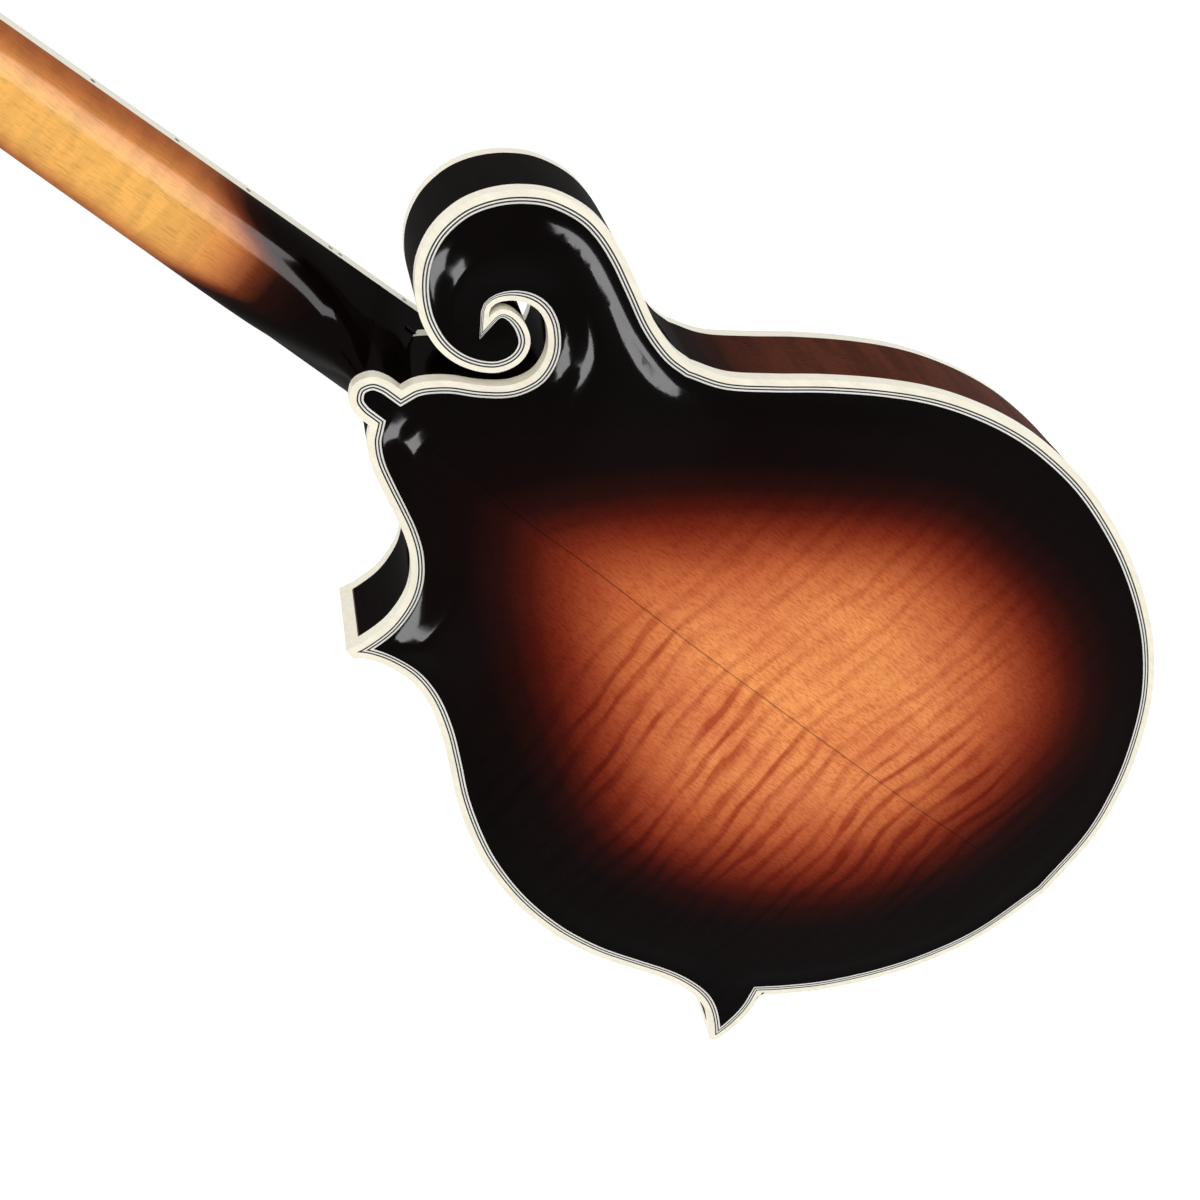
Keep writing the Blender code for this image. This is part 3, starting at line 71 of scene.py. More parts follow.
MM = 0.001
JOINT_Z = 345 * MM
RIM_HALF = 21 * MM
BINDING_WIDE = 2.3 * MM
BINDING_TALL = 5 * MM
PURFLING = [("black", 0.5), ("white", 0.5), ("black", 0.5), ("white", 0.6)]
PLATE_THICK = 4.7 * MM
BACK_CROWN, TOP_CROWN, SCROLL_RISE = 12.5 * MM, 15 * MM, 4.5 * MM
FLAT_RIM, RIM_BLEND = 4 * MM, 10 * MM
RELIEF_GRID = 2 * MM
RELIEF_ROUNDS = 7200
EDGE_STEP = 1.6 * MM
LONGEST_MITRE = 3.9
SLOPE_REACH = 0.8 * MM
WELD = 0.002 * MM
FIELD_GRID = 1.5 * MM
FIELD_ROUNDS = 5
PLATE_GRID = 2.1 * MM
PLATE_RINGS, PLATE_GRID_START, RING_CLEAR = (1.6 * MM, 4 * MM), 5.6 * MM, 1 * MM
ROW_SHARE = 0.866
SCROLL_RISE_START, SCROLL_RISE_LONG = 90 * MM, 45 * MM
LINE_TALL, RIB_THICK = 1 * MM, 2.2 * MM

BUTTON = [(-7.6, 2.3), (-7.4, 7.5), (-5.4, 12.4), (0, 15), (5.4, 12.4), (7.4, 7.5), (7.6, 2.3)]
SLOT_OUTER = [(7.6, 2.3), (11.5, 0.8), (15.4, -2.4), (19.8, -8), (24.2, -15.8), (29.6, -22.6),
              (35.6, -26), (40.8, -26.2), (46.2, -24.1), (50.8, -19.9), (53.1, -16), (53.8, -12.5),
              (53.2, -9), (51.4, -5.4), (48.9, -2.8), (46.4, -1.6), (44.4, -1.8), (42.5, -3.1)]
SCROLL = [(42.5, -3.1), (44.6, -3.2), (46.5, -4), (47.9, -5.6), (48.6, -8.5), (48.2, -12.4),
          (46.5, -16.2), (43.9, -18.9), (40.4, -20.3), (36.4, -20.2), (32.6, -18.6),
          (29.4, -15.8), (26.6, -11), (24.9, -5.2), (24.8, 1), (26.3, 7), (29.6, 13.6), (35, 20),
          (41.8, 24.9), (49.6, 27.5), (57, 27.8), (65, 26), (72.6, 21.6), (79, 15.4),
          (84, 7.4), (86.6, -3), (86.2, -12), (83.4, -22), (78.6, -33.4), (73.6, -45), (71, -56),
          (71.2, -64)]
BASS_BOUT = [(71.2, -64), (75.6, -76), (84.6, -88.8), (95.6, -103), (107, -119.8), (115.8, -136),
             (122, -153), (125.8, -170), (127, -186), (126.4, -203), (123.4, -220.5), (118, -240),
             (110, -259.5), (100, -277.2), (86, -294.4), (68.6, -308.9), (50.6, -320),
             (29, -328.6), (0, -333)]
TREBLE_TAIL = [(-x, y) for x, y in BASS_BOUT[:-6:-1]] + [(-97.5, -281.6), (-103.6, -273.6)]
LOWER_POINT_UNDER = [(-103.6, -273.6), (-109.5, -275.6), (-116, -276.6), (-124, -276.6),
                     (-130.4, -275.6)]
TREBLE_BOUT = [(-132, -272.8), (-127, -267.6), (-122, -260.6), (-119.2, -253.4), (-118.4, -244),
               (-119.4, -234), (-122.6, -220), (-125.8, -205), (-127.1, -190), (-126.6, -177),
               (-124.4, -163), (-120.6, -149.6), (-115.4, -136.8), (-108.6, -124.6),
               (-100.4, -112.4), (-91, -101), (-82.4, -90), (-75.6, -78.6), (-72.2, -68),
               (-72.4, -58), (-74.4, -50.6), (-76.8, -46.6)]
UPPER_POINT_OVER = [(-75.8, -43), (-70, -45.4), (-60, -47.3), (-50, -46.2), (-42.5, -43),
                    (-35.8, -37.4), (-30.6, -30.4), (-26.4, -22.6), (-22.4, -14.6), (-17.8, -6.4),
                    (-12.6, -0.6), (-7.6, 2.3)]
SLOT_END = (42.5, -3.1)
TIPS = {"upper": ((-76.6, -44.6), (-0.75, 0.66)), "lower": ((-131.4, -274.4), (-0.95, -0.32))}
CAP_LONG, CAP_SEAM = 4.2 * MM, 0.4 * MM

# F-holes, one side
F_EYES = [((40.5, -110.5), 4.2), ((69, -186.5), 5.4)]
F_INNER_EDGE = [(43, -107), (48.4, -106.8), (53.6, -112), (56, -121.6), (56, -135.4),
                (57.2, -149), (60.2, -163), (64.6, -176), (67, -181.4)]
F_OUTER_EDGE = [(64, -189.2), (60.6, -183.4), (56, -170.6), (52.8, -157), (51.8, -143),
                (51.4, -130), (50.4, -120.4), (47.4, -113.2), (44.2, -110.2)]

# Neck: place up from the joint, depth, flat half-width, and share of the heel's hollow flanks
NECK_STATIONS = [(-12, 52.6, 7.6, 1), (2.3, 51.3, 7.6, 1), (7.4, 50.8, 7.2, 1), (12, 50.3, 5.2, 1),
                 (14.2, 49.9, 3, 0.95), (15.6, 48.4, 1.6, 0.9), (17.6, 44.6, 1.1, 0.8),
                 (20.6, 39, 0.9, 0.66), (24.6, 33, 0.8, 0.5), (30, 28, 0.7, 0.32),
                 (37, 25.2, 0.6, 0.15), (47, 23.8, 0.6, 0.04), (70, 23, 0.6, 0),
                 (120, 22, 0.6, 0), (170, 21.2, 0.6, 0), (199, 20.8, 0.6, 0),
                 (208.4, 20.6, 0.6, 0)]
SCALE_LENGTH = 352.4 * MM
TAIL_Z = 66 * MM
FRET_COUNT = 22
NUT_Z = SCALE_LENGTH * (1 - 2 ** (-15 / 12))
NUT_HALF, JOINT_HALF = 14.3 * MM, 18.3 * MM
NECK_SIDE_STEPS = 14
FRET_TALL, FRET_HALF, FRET_SUNK, FRET_END = 1.02 * MM, 0.68 * MM, 0.3 * MM, 0.7 * MM
FRET_ARC = 8
DOT_FRETS, PAIR_FRET = (3, 5, 7, 9, 12, 15), 12
DOT_RADIUS, DOT_PAIR = 2.4 * MM, 7 * MM
SIDE_DOT_RADIUS, SIDE_DOT_PAIR, SIDE_DOT_DEEP = 0.85 * MM, 2 * MM, 3 * MM
WOOD_TOP = 6.3 * MM
BOARD_BINDING = 1.5 * MM
PEGHEAD_THICK, OVERLAY_THICK, FIT_GAP = 13 * MM, 2 * MM, 0.3 * MM
POST_ROW, POST_FIRST, POST_STEP, POST_HOLE = 21 * MM, 30 * MM, 23 * MM, 3.6 * MM
SHAFT_END, WHEEL_START = POST_ROW + 17 * MM, 15 * MM
RISER = ((-15 * MM, WOOD_TOP, -52 * MM), (15 * MM, 18 * MM, 4 * MM))
TRUSS_SLOT = ((-2.8 * MM, WOOD_TOP - 1 * MM, 8 * MM), (2.8 * MM, WOOD_TOP + 8.4 * MM, 210 * MM))
TRUSS_POCKET = ((-5.4 * MM, 2 * MM, 208.6 * MM), (5.4 * MM, 17 * MM, 230 * MM))
PEGHEAD_SIDE = [(14.3, 0), (15, 5), (19, 9.5), (26, 12.6), (33, 17.4), (37, 24), (35.8, 30.4),
                (34.2, 38), (34, 52), (34.4, 70), (35.6, 88)]
PEGHEAD_TOP = [(38, 102), (41, 111), (40.4, 119.6), (33, 124.4), (24, 124.4), (15, 127.8),
               (9, 135), (4.6, 145), (-3, 154.6), (-14, 160.6), (-27, 161), (-37.6, 154.4),
               (-42, 143.6), (-39.6, 133.4), (-32, 130), (-26.4, 134.4), (-26.6, 127.4),
               (-31.4, 121), (-38.4, 116), (-40.6, 109), (-38, 100)]
PEGHEAD = PEGHEAD_SIDE + PEGHEAD_TOP + [(-x, z) for x, z in PEGHEAD_SIDE[::-1]]
NECK_FRAME = (Matrix.Translation((0, -35.4 * MM, JOINT_Z))
              @ Matrix.Rotation(math.radians(-6), 4, "X"))
PEGHEAD_FRAME = (NECK_FRAME @ Matrix.Translation((0, WOOD_TOP, NUT_Z + 3.8 * MM))
                 @ Matrix.Rotation(math.radians(-15), 4, "X"))
EYE = Vector((-0.1527, 0.533, 0.5242))
SCROLL_SPOT, WAIST_SPOT = (-0.046, 0.026, 0.361), (-0.070, 0.026, 0.320)


def eased(share):
    share = np.clip(share, 0, 1)
    return share * share * (3 - 2 * share)


def smooth_line(points, step):
    """A smooth curve through the points, read again at even steps, with both ends kept."""
    knots = [Vector(p) for p in points]
    padded = [2 * knots[0] - knots[1]] + knots + [2 * knots[-1] - knots[-2]]
    dense = []
    for k in range(1, len(padded) - 2):
        a, b, c, d = padded[k - 1:k + 3]
        for part in range(24):
            t = part / 24
            dense.append(0.5 * (2 * b + (c - a) * t + (2 * a - 5 * b + 4 * c - d) * t * t
                                + (3 * b - a - 3 * c + d) * t ** 3))
    dense.append(knots[-1])
    lengths = np.cumsum([0.0] + [(b - a).length for a, b in zip(dense[:-1], dense[1:])])
    count = max(2, round(lengths[-1] / step))
    targets = np.linspace(0, lengths[-1], count + 1)
    columns = [np.interp(targets, lengths, [p[k] for p in dense]) for k in range(len(knots[0]))]
    return list(zip(*(c.tolist() for c in columns)))


def on_plan(x, y):
    return (-x * MM, JOINT_Z + y * MM)


def plan(points):
    return smooth_line([on_plan(*point) for point in points], EDGE_STEP)


def joined(*lines):
    loop = []
    for line in lines:
        loop += line if not loop or math.dist(loop[-1], line[0]) > 1e-6 else line[1:]
    return loop[:-1] if math.dist(loop[0], loop[-1]) < 1e-6 else loop


def inset(loop, distance, closed=True):
    """The loop moved to its left, by one distance or one for each point, with limited mitres."""
    count = len(loop)
    distances = np.broadcast_to(distance, count)
    moved = []
    for k in range(count):
        here = Vector(loop[k])
        before = Vector(loop[k - 1]) if closed or k else 2 * here - Vector(loop[1])
        after = Vector(loop[(k + 1) % count]) if closed or k < count - 1 else 2 * here - before
        first, second = (here - before).normalized(), (after - here).normalized()
        left = Vector((-first.y - second.y, first.x + second.x)).normalized()
        stretch = min(LONGEST_MITRE, 1 / max(1e-6, left.dot(Vector((-first.y, first.x)))))
        moved.append(tuple(here + left * float(distances[k]) * stretch))
    return without_knots(moved, closed)


def without_knots(line, closed):
    """Cuts off the small loops that a moved line makes at tight corners."""
    i = 0
    while i < len(line) - 2:
        count = len(line)
        for j in range(i + 2, min(i + 14, count - (1 if closed and i == 0 else 0))):
            if j + 1 >= count and not closed:
                continue
            cross = intersect_line_line_2d(line[i], line[i + 1], line[j], line[(j + 1) % count])
            if cross:
                line = line[:i + 1] + [tuple(cross)] + line[j + 1:]
                i = max(-1, i - 2)
                break
        i += 1
    return line


def sides(loop):
    corners = np.array(loop)
    return zip(corners, np.roll(corners, -1, axis=0))


def edge_distance(points, loop):
    least = np.full(len(points), np.inf)
    for a, b in sides(loop):
        along = b - a
        share = np.clip(((points - a) @ along) / (along @ along), 0, 1)
        least = np.minimum(least, np.linalg.norm(points - a - share[:, None] * along, axis=1))
    return least


def inside(points, loop):
    found = np.zeros(len(points), bool)
    for a, b in sides(loop):
        spans = (a[1] > points[:, 1]) != (b[1] > points[:, 1])
        rise = b[1] - a[1] if abs(b[1] - a[1]) > 1e-12 else 1e-12
        crossing = a[0] + (points[:, 1] - a[1]) * (b[0] - a[0]) / rise
        found ^= spans & (points[:, 0] < crossing)
    return found


def cubic_weights(t):
    return np.stack([((-0.5 * t + 1) * t - 0.5) * t, (1.5 * t - 2.5) * t * t + 1,
                     ((-1.5 * t + 2) * t + 0.5) * t, (0.5 * t - 0.5) * t * t])


def cubic_read(sheet, low, step, points):
    """Values between the points of an even grid."""
    where = (points - low) / step
    cell = np.clip(where.astype(int), 1, np.array(sheet.shape) - 3)
    u, v = (cubic_weights((where - cell)[:, k]) for k in (0, 1))
    i, j = cell.T
    return sum(u[a] * v[b] * sheet[i + a - 1, j + b - 1] for a in range(4) for b in range(4))


class Relief:
    """The carved height over the rim plane, as the solids have it, evened on a finer grid."""

    def __init__(self, outline, crown):
        self.outline, self.crown = outline, crown
        corners = np.array(outline)
        self.low = corners.min(axis=0) - 3 * RELIEF_GRID
        mask = inside(self.places(corners, RELIEF_GRID), outline).reshape(self.shape)
        sheet = np.zeros(self.shape)
        for _ in range(RELIEF_ROUNDS):
            sheet[1:-1, 1:-1] = (sheet[2:, 1:-1] + sheet[:-2, 1:-1] + sheet[1:-1, 2:]
                                 + sheet[1:-1, :-2] + 1) / 4
            sheet[~mask] = 0
        self.sheet = sheet / sheet.max()
        field = self.carved(self.places(corners, FIELD_GRID)).reshape(self.shape)
        for _ in range(FIELD_ROUNDS):
            field[1:-1] = (field[2:] + 2 * field[1:-1] + field[:-2]) / 4
            field[:, 1:-1] = (field[:, 2:] + 2 * field[:, 1:-1] + field[:, :-2]) / 4
        self.field = field

    def places(self, corners, step):
        counts = np.ceil((corners.max(axis=0) - self.low) / step).astype(int) + 4
        self.shape = tuple(counts)
        xs, zs = (self.low[k] + step * np.arange(counts[k]) for k in (0, 1))
        return np.array([(x, z) for x in xs for z in zs])

    def carved(self, points):
        swell = cubic_read(self.sheet, self.low, RELIEF_GRID, points)
        rim = eased((edge_distance(points, self.outline) - FLAT_RIM) / RIM_BLEND)
        rim[~inside(points, self.outline)] = 0
        scroll = eased((points[:, 1] - JOINT_Z + SCROLL_RISE_START) / SCROLL_RISE_LONG)
        dome = 0.45 * swell + 0.55 * eased(swell)
        return rim * (self.crown * dome + SCROLL_RISE * scroll)

    def height(self, points):
        points = np.asarray(points, float).reshape(-1, 2)
        return cubic_read(self.field, self.low, FIELD_GRID, points)

    def slope(self, points):
        """How fast the height grows along X and along Z."""
        return [(self.height(points + step) - self.height(points - step)) / (2 * SLOPE_REACH)
                for step in np.array([(SLOPE_REACH, 0), (0, SLOPE_REACH)])]


def beyond(loop, tip, outward, reach, keep_tip):
    """The part of a loop within reach of a tip, or the rest, cut straight across."""
    point = Vector(on_plan(*tip))
    normal = Vector((-outward[0], outward[1])).normalized()
    kept = []
    for k in range(len(loop)):
        a, b = Vector(loop[k - 1]), Vector(loop[k])
        da, db = ((p - point).dot(normal) + reach for p in (a, b))
        if not keep_tip:
            da, db = -da, -db
        if (da > 0) != (db > 0):
            kept.append(tuple(a + (b - a) * (da / (da - db))))
        if db > 0:
            kept.append(tuple(b))
    return kept


def finished(build, weld=1e-7):
    bmesh.ops.remove_doubles(build, verts=build.verts, dist=weld)
    bmesh.ops.recalc_face_normals(build, faces=build.faces)
    mesh = bpy.data.meshes.new("piece")
    build.to_mesh(mesh)
    build.free()
    return mesh


def in_scene(name, data):
    made = bpy.data.objects.new(name, data)
    bpy.context.scene.collection.objects.link(made)
    return made


def evaluated(holder):
    graph = bpy.context.evaluated_depsgraph_get()
    return bpy.data.meshes.new_from_object(holder.evaluated_get(graph))


def slab(loops, low, high):
    """A flat outline in X and Z, with any holes in it, as a solid from low to high along Y."""
    outline = bpy.data.curves.new("outline", "CURVE")
    outline.dimensions = "2D"
    outline.fill_mode = "BOTH"
    outline.extrude = (high - low) / 2
    for loop in loops:
        line = outline.splines.new("POLY")
        line.points.add(len(loop) - 1)
        for point, (x, z) in zip(line.points, loop):
            point.co = (x, z, 0, 1)
        line.use_cyclic_u = True
    holder = in_scene("outline", outline)
    flat = evaluated(holder)
    bpy.data.objects.remove(holder)
    build = bmesh.new()
    build.from_mesh(flat)
    stand = Matrix.Translation((0, (low + high) / 2, 0)) @ Matrix.Rotation(math.pi / 2, 4, "X")
    bmesh.ops.transform(build, matrix=stand, verts=build.verts)
    return finished(build)


def block(low, high):
    build = bmesh.new()
    bmesh.ops.create_cube(build, size=1)
    middle, size = (Vector(low) + Vector(high)) / 2, Vector(high) - Vector(low)
    bmesh.ops.scale(build, vec=size, verts=build.verts)
    bmesh.ops.translate(build, vec=middle, verts=build.verts)
    return finished(build)


def circle(radius, count, middle=(0, 0)):
    return [(middle[0] + radius * math.cos(2 * math.pi * k / count),
             middle[1] + radius * math.sin(2 * math.pi * k / count)) for k in range(count)]


def loft(rings):
    """A closed solid through rings of equal length."""
    build = bmesh.new()
    rows = [[build.verts.new(p) for p in ring] for ring in rings]
    for low, high in zip(rows[:-1], rows[1:]):
        for k in range(len(low)):
            build.faces.new((low[k - 1], low[k], high[k], high[k - 1]))
    build.faces.new(rows[0])
    build.faces.new(rows[-1])
    return finished(build)


def placed(mesh, matrix):
    mesh.transform(matrix)
    return mesh


def grouped(meshes):
    build = bmesh.new()
    for mesh in meshes:
        build.from_mesh(mesh)
    return finished(build)


def combined(mesh, steps):
    """The mesh after Boolean steps, each an operation and a tool's mesh."""
    work = in_scene("work", mesh)
    tools = []
    for operation, tool_mesh in steps:
        tools.append(in_scene("tool", tool_mesh))
        step = work.modifiers.new("step", "BOOLEAN")
        step.operation = operation
        step.object = tools[-1]
    result = evaluated(work)
    for spare in [work] + tools:
        bpy.data.objects.remove(spare)
    return result


def soften(piece, width, angle):
    """Rounds the edges that are sharper than an angle in degrees."""
    rounding = piece.modifiers.new("soften", "BEVEL")
    rounding.width = width
    rounding.segments = 2
    rounding.limit_method = "ANGLE"
    rounding.angle_limit = math.radians(angle)


def read_counts(items, key):
    found = np.zeros(len(items), int)
    items.foreach_get(key, found)
    return found


def read_places(items, key="co"):
    found = np.zeros(len(items) * 3)
    items.foreach_get(key, found)
    return found.reshape(-1, 3)


def add_piece(name, mesh, material, body="instrument", replaces=(), smooth=30,
              bevel=0.0):
    """Puts a mesh in the scene as a piece that rides on a body and stands for CAD nodes."""
    piece = in_scene(name, mesh)
    mesh.materials.clear()
    mesh.materials.append(material)
    mesh.shade_smooth()
    mesh.set_sharp_from_angle(angle=math.radians(smooth))
    if bevel:
        soften(piece, bevel, 50)
    if body:
        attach(piece, body)
    if replaces:
        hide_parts(*replaces)
    return piece


class Shader:
    """One node material with a Principled shader; helpers return output sockets."""

    def __init__(self, name, color, **inputs):
        self.material = bpy.data.materials.new(name)
        self.material.use_nodes = True
        self.tree = self.material.node_tree
        self.surface = self.tree.nodes["Principled BSDF"]
        self.color(color)
        self.material.diffuse_color = (*color, 1)
        for key, value in inputs.items():
            self.surface.inputs[key.replace("_", " ")].default_value = value

    def node(self, kind, **settings):
        node = self.tree.nodes.new("ShaderNode" + kind)
        for key, value in settings.items():
            if key in node.inputs:
                node.inputs[key].default_value = value
            else:
                setattr(node, key, value)
        return node

    def plug(self, value, slot):
        """A number, a colour or another node's output as an input."""
        if isinstance(value, (int, float)):
            slot.default_value = value
        elif isinstance(value, tuple):
            slot.default_value = (*value, 1)
        else:
            self.tree.links.new(value, slot)

    def place(self, scale=(1, 1, 1)):
        """Object coordinates in millimetres, scaled."""
        mapping = self.node("Mapping")
        mapping.inputs["Scale"].default_value = [1000 * s for s in scale]
        self.plug(self.node("TexCoord").outputs["Object"], mapping.inputs["Vector"])
        return mapping.outputs["Vector"]

    def noise(self, scale, detail=2.0, roughness=0.5, distortion=0.0):
        node = self.node("TexNoise", Scale=1.0, Detail=detail, Roughness=roughness,
                         Distortion=distortion)
        self.plug(self.place(scale), node.inputs["Vector"])
        return node.outputs["Fac"]

    def math(self, operation, *values):
        node = self.node("Math", operation=operation)
        for value, slot in zip(values, node.inputs):
            self.plug(value, slot)
        return node.outputs[0]

    def ramp(self, factor, stops, interpolation="LINEAR"):
        node = self.node("ValToRGB")
        ramp = node.color_ramp
        ramp.interpolation = interpolation
        ramp.elements.remove(ramp.elements[1])
        for k, (place, color) in enumerate(stops):
            point = ramp.elements[0] if k == 0 else ramp.elements.new(place)
            point.position = place
            if isinstance(color, (int, float)):
                color = (color, color, color)
            point.color = (*color, 1)
        self.plug(factor, node.inputs["Fac"])
        return node.outputs["Color"]

    def mix(self, factor, a, b, blend="MIX"):
        node = self.node("Mix", data_type="RGBA", blend_type=blend)
        for value, k in zip((factor, a, b), (0, 6, 7)):
            self.plug(value, node.inputs[k])
        return node.outputs[2]

    def tinted(self, color, tint):
        return self.mix(1.0, color, tint, "MULTIPLY")

    def attribute(self, name):
        return self.node("Attribute", attribute_name=name).outputs["Fac"]

    def bump(self, height, strength, distance=0.1 * MM):
        node = self.node("Bump", Strength=strength, Distance=distance)
        self.plug(height, node.inputs["Height"])
        self.plug(node.outputs["Normal"], self.surface.inputs["Normal"])

    def color(self, value):
        self.plug(value, self.surface.inputs["Base Color"])


LACQUER = {"Roughness": 0.5, "Specular_IOR_Level": 0.0, "Coat_Weight": 0.06,
           "Coat_Roughness": 0.1, "Coat_IOR": 1.5}

# Burst of the back: its middle, and how far it reaches left, right, up and down, on the plan
BURST_MIDDLE, BURST_REACH = (10, -180), (96, 85, 132, 111)
BURST_LEAN = 0.10
BURST_STOPS = [(0.0, (0.90, 0.33, 0.112)), (0.30, (0.81, 0.28, 0.097)),
               (0.44, (0.58, 0.15, 0.050)), (0.52, (0.36, 0.066, 0.022)),
               (0.59, (0.20, 0.024, 0.008)), (0.66, (0.072, 0.006, 0.002)),
               (0.72, (0.020, 0.0022, 0.0012)), (0.80, (0.0045, 0.0010, 0.0008)),
               (1.0, (0.0020, 0.0008, 0.0009))]
BURST_SPAN = 1.36
FLAME_DEEP, FLECK_DEEP = 0.95, 0.6


def burst_share(x, y, middle=BURST_MIDDLE, reach=BURST_REACH):
    """0 in the middle of the burst and 1 where its colour has gone, in plan millimetres."""
    left, right, up, down = reach
    dy = y - middle[1]
    dx = x - middle[0] + BURST_LEAN * dy
    wide = np.abs(dx) / np.where(dx > 0, right, left)
    tall = np.abs(dy) / np.where(dy > 0, up, down)
    power = 1.78 - 0.48 * np.tanh(dy / 30)
    return (wide ** power + tall ** power) ** (1 / power)


def flame_share(x, y):
    """How strong the stripes are: most on the treble half and low down near the seam."""
    treble = eased((8 - x) / 16)
    low_seam = eased((-200 - y) / 30) * eased((44 - x) / 20)
    return np.clip(0.38 + 0.62 * np.maximum(treble, low_seam), 0, 1) * eased((-88 - y) / 40)


def paint(piece, name, values):
    layer = piece.data.attributes.new(name, "FLOAT", "POINT")
    layer.data.foreach_set("value", np.asarray(values, np.float32))


def back_material():
    """Flame stripes across the seam and flecks along it, over the burst, with a fine dark seam."""
    shader = Shader("flamed_maple_lacquer", (0.3, 0.06, 0.02), **LACQUER)
    color = shader.ramp(shader.attribute("burst"), BURST_STOPS)
    split = shader.node("SeparateXYZ")
    shader.plug(shader.place(), split.inputs[0])
    x, z = split.outputs["X"], split.outputs["Z"]
    away = shader.math("ABSOLUTE", x)
    bend = shader.noise((0.012, 0.012, 0.012), 1.0)
    lifted = shader.math("ADD", z, shader.math("MULTIPLY", away, 0.13))
    lifted = shader.math("ADD", lifted, shader.math("MULTIPLY", bend, 9.0))
    pack = shader.node("CombineXYZ")
    shader.plug(shader.math("MULTIPLY", x, 0.35), pack.inputs["X"])
    shader.plug(lifted, pack.inputs["Z"])
    waves = shader.node("TexWave", bands_direction="Z", Scale=0.038, Distortion=5.0, Detail=2.5,
                        **{"Detail Scale": 1.7, "Detail Roughness": 0.6})
    shader.plug(pack.outputs[0], waves.inputs["Vector"])
    stripe = shader.ramp(waves.outputs["Fac"], [(0.30, 0.0), (0.62, 0.35), (0.95, 1.0)], "EASE")
    patches = shader.ramp(shader.noise((0.028, 0.028, 0.05)), [(0.34, 0.2), (0.58, 1.0)])
    stripe = shader.math("MULTIPLY", stripe, patches)
    stripe = shader.math("MULTIPLY", stripe, shader.attribute("figure"))
    color = shader.mix(shader.math("MULTIPLY", stripe, FLAME_DEEP), color,
                       shader.tinted(color, (0.60, 0.33, 0.30)))
    fleck = shader.ramp(shader.noise((1.9, 1.9, 0.32), 3.0, 0.7), [(0.36, 1.0), (0.56, 0.0)])
    color = shader.mix(shader.math("MULTIPLY", fleck, FLECK_DEEP), color,
                       shader.tinted(color, (0.62, 0.34, 0.30)))
    cloud = shader.ramp(shader.noise((0.05, 0.05, 0.016), 3.0),
                        [(0.32, (0.90, 0.78, 0.80)), (0.66, (1.05, 1.12, 1.04))])
    seam = shader.ramp(shader.math("MULTIPLY", away, 0.5), [(0.06, 0.45), (0.16, 1.0)])
    shader.color(shader.tinted(shader.tinted(color, cloud), seam))
    return shader.material


def lacquered_wood(name, flat_color, burst_stops, veils, coat=LACQUER["Coat_Weight"]):
    """Burst-coloured wood times veils of noise: scale in millimetres, detail, roughness, look."""
    shader = Shader(name, flat_color, **{**LACQUER, "Coat_Weight": coat})
    color = shader.ramp(shader.attribute("burst"), burst_stops)
    for scale, detail, roughness, *look in veils:
        color = shader.tinted(color, shader.ramp(shader.noise(scale, detail, roughness), *look))
    shader.color(color)
    return shader.material


def cream_material():
    shader = Shader("cream_celluloid", (0.90, 0.85, 0.70), Roughness=0.28, Specular_IOR_Level=0.4)
    grain = shader.noise((0.5, 0.5, 0.05), 3.0)
    shader.color(shader.ramp(grain, [(0.3, (0.837, 0.7905, 0.651)), (0.7, (0.936, 0.884, 0.728))]))
    return shader.material


def line_material(name, color):
    shader = Shader(name, color, Roughness=0.3, Specular_IOR_Level=0.25)
    grain = shader.noise((1.5, 1.5, 1.5))
    shader.color(shader.ramp(grain, [(0.3, tuple(0.9 * c for c in color)), (0.7, color)]))
    return shader.material


CREAM = cream_material()
WHITE_LINE = line_material("white_line", (0.84, 0.82, 0.76))
BLACK_LINE = line_material("black_line", (0.008, 0.007, 0.007))
SEAM_LINE = line_material("seam_line", (0.10, 0.035, 0.012))


def near_slot_end(loop, close, far):
    """1 at the slot's end, easing to 0 between two distances in millimetres."""
    apart = np.linalg.norm(np.array(loop) - on_plan(*SLOT_END), axis=1) / MM
    return 1 - eased((apart - close) / (far - close))


def cream_wide(loop):
    """The binding is 2.3 mm wide, and narrower where the scroll curls in."""
    return BINDING_WIDE - 0.7 * MM * near_slot_end(loop, 14, 28)


def trim_wide(loop, lines):
    """How far in the first so many purfling lines reach: they run out thinner at the slot's end."""
    across = sum(wide for _, wide in PURFLING[:lines]) * MM
    return cream_wide(loop) + across * (1 - 0.55 * near_slot_end(loop, 2, 14))


waist = [plan(line) for line in (SLOT_OUTER, SCROLL, BASS_BOUT, TREBLE_TAIL, LOWER_POINT_UNDER,
                                 TREBLE_BOUT, UPPER_POINT_OVER)]
rim_loop = joined(*waist)
back_loop = joined(plan(BUTTON), *waist)


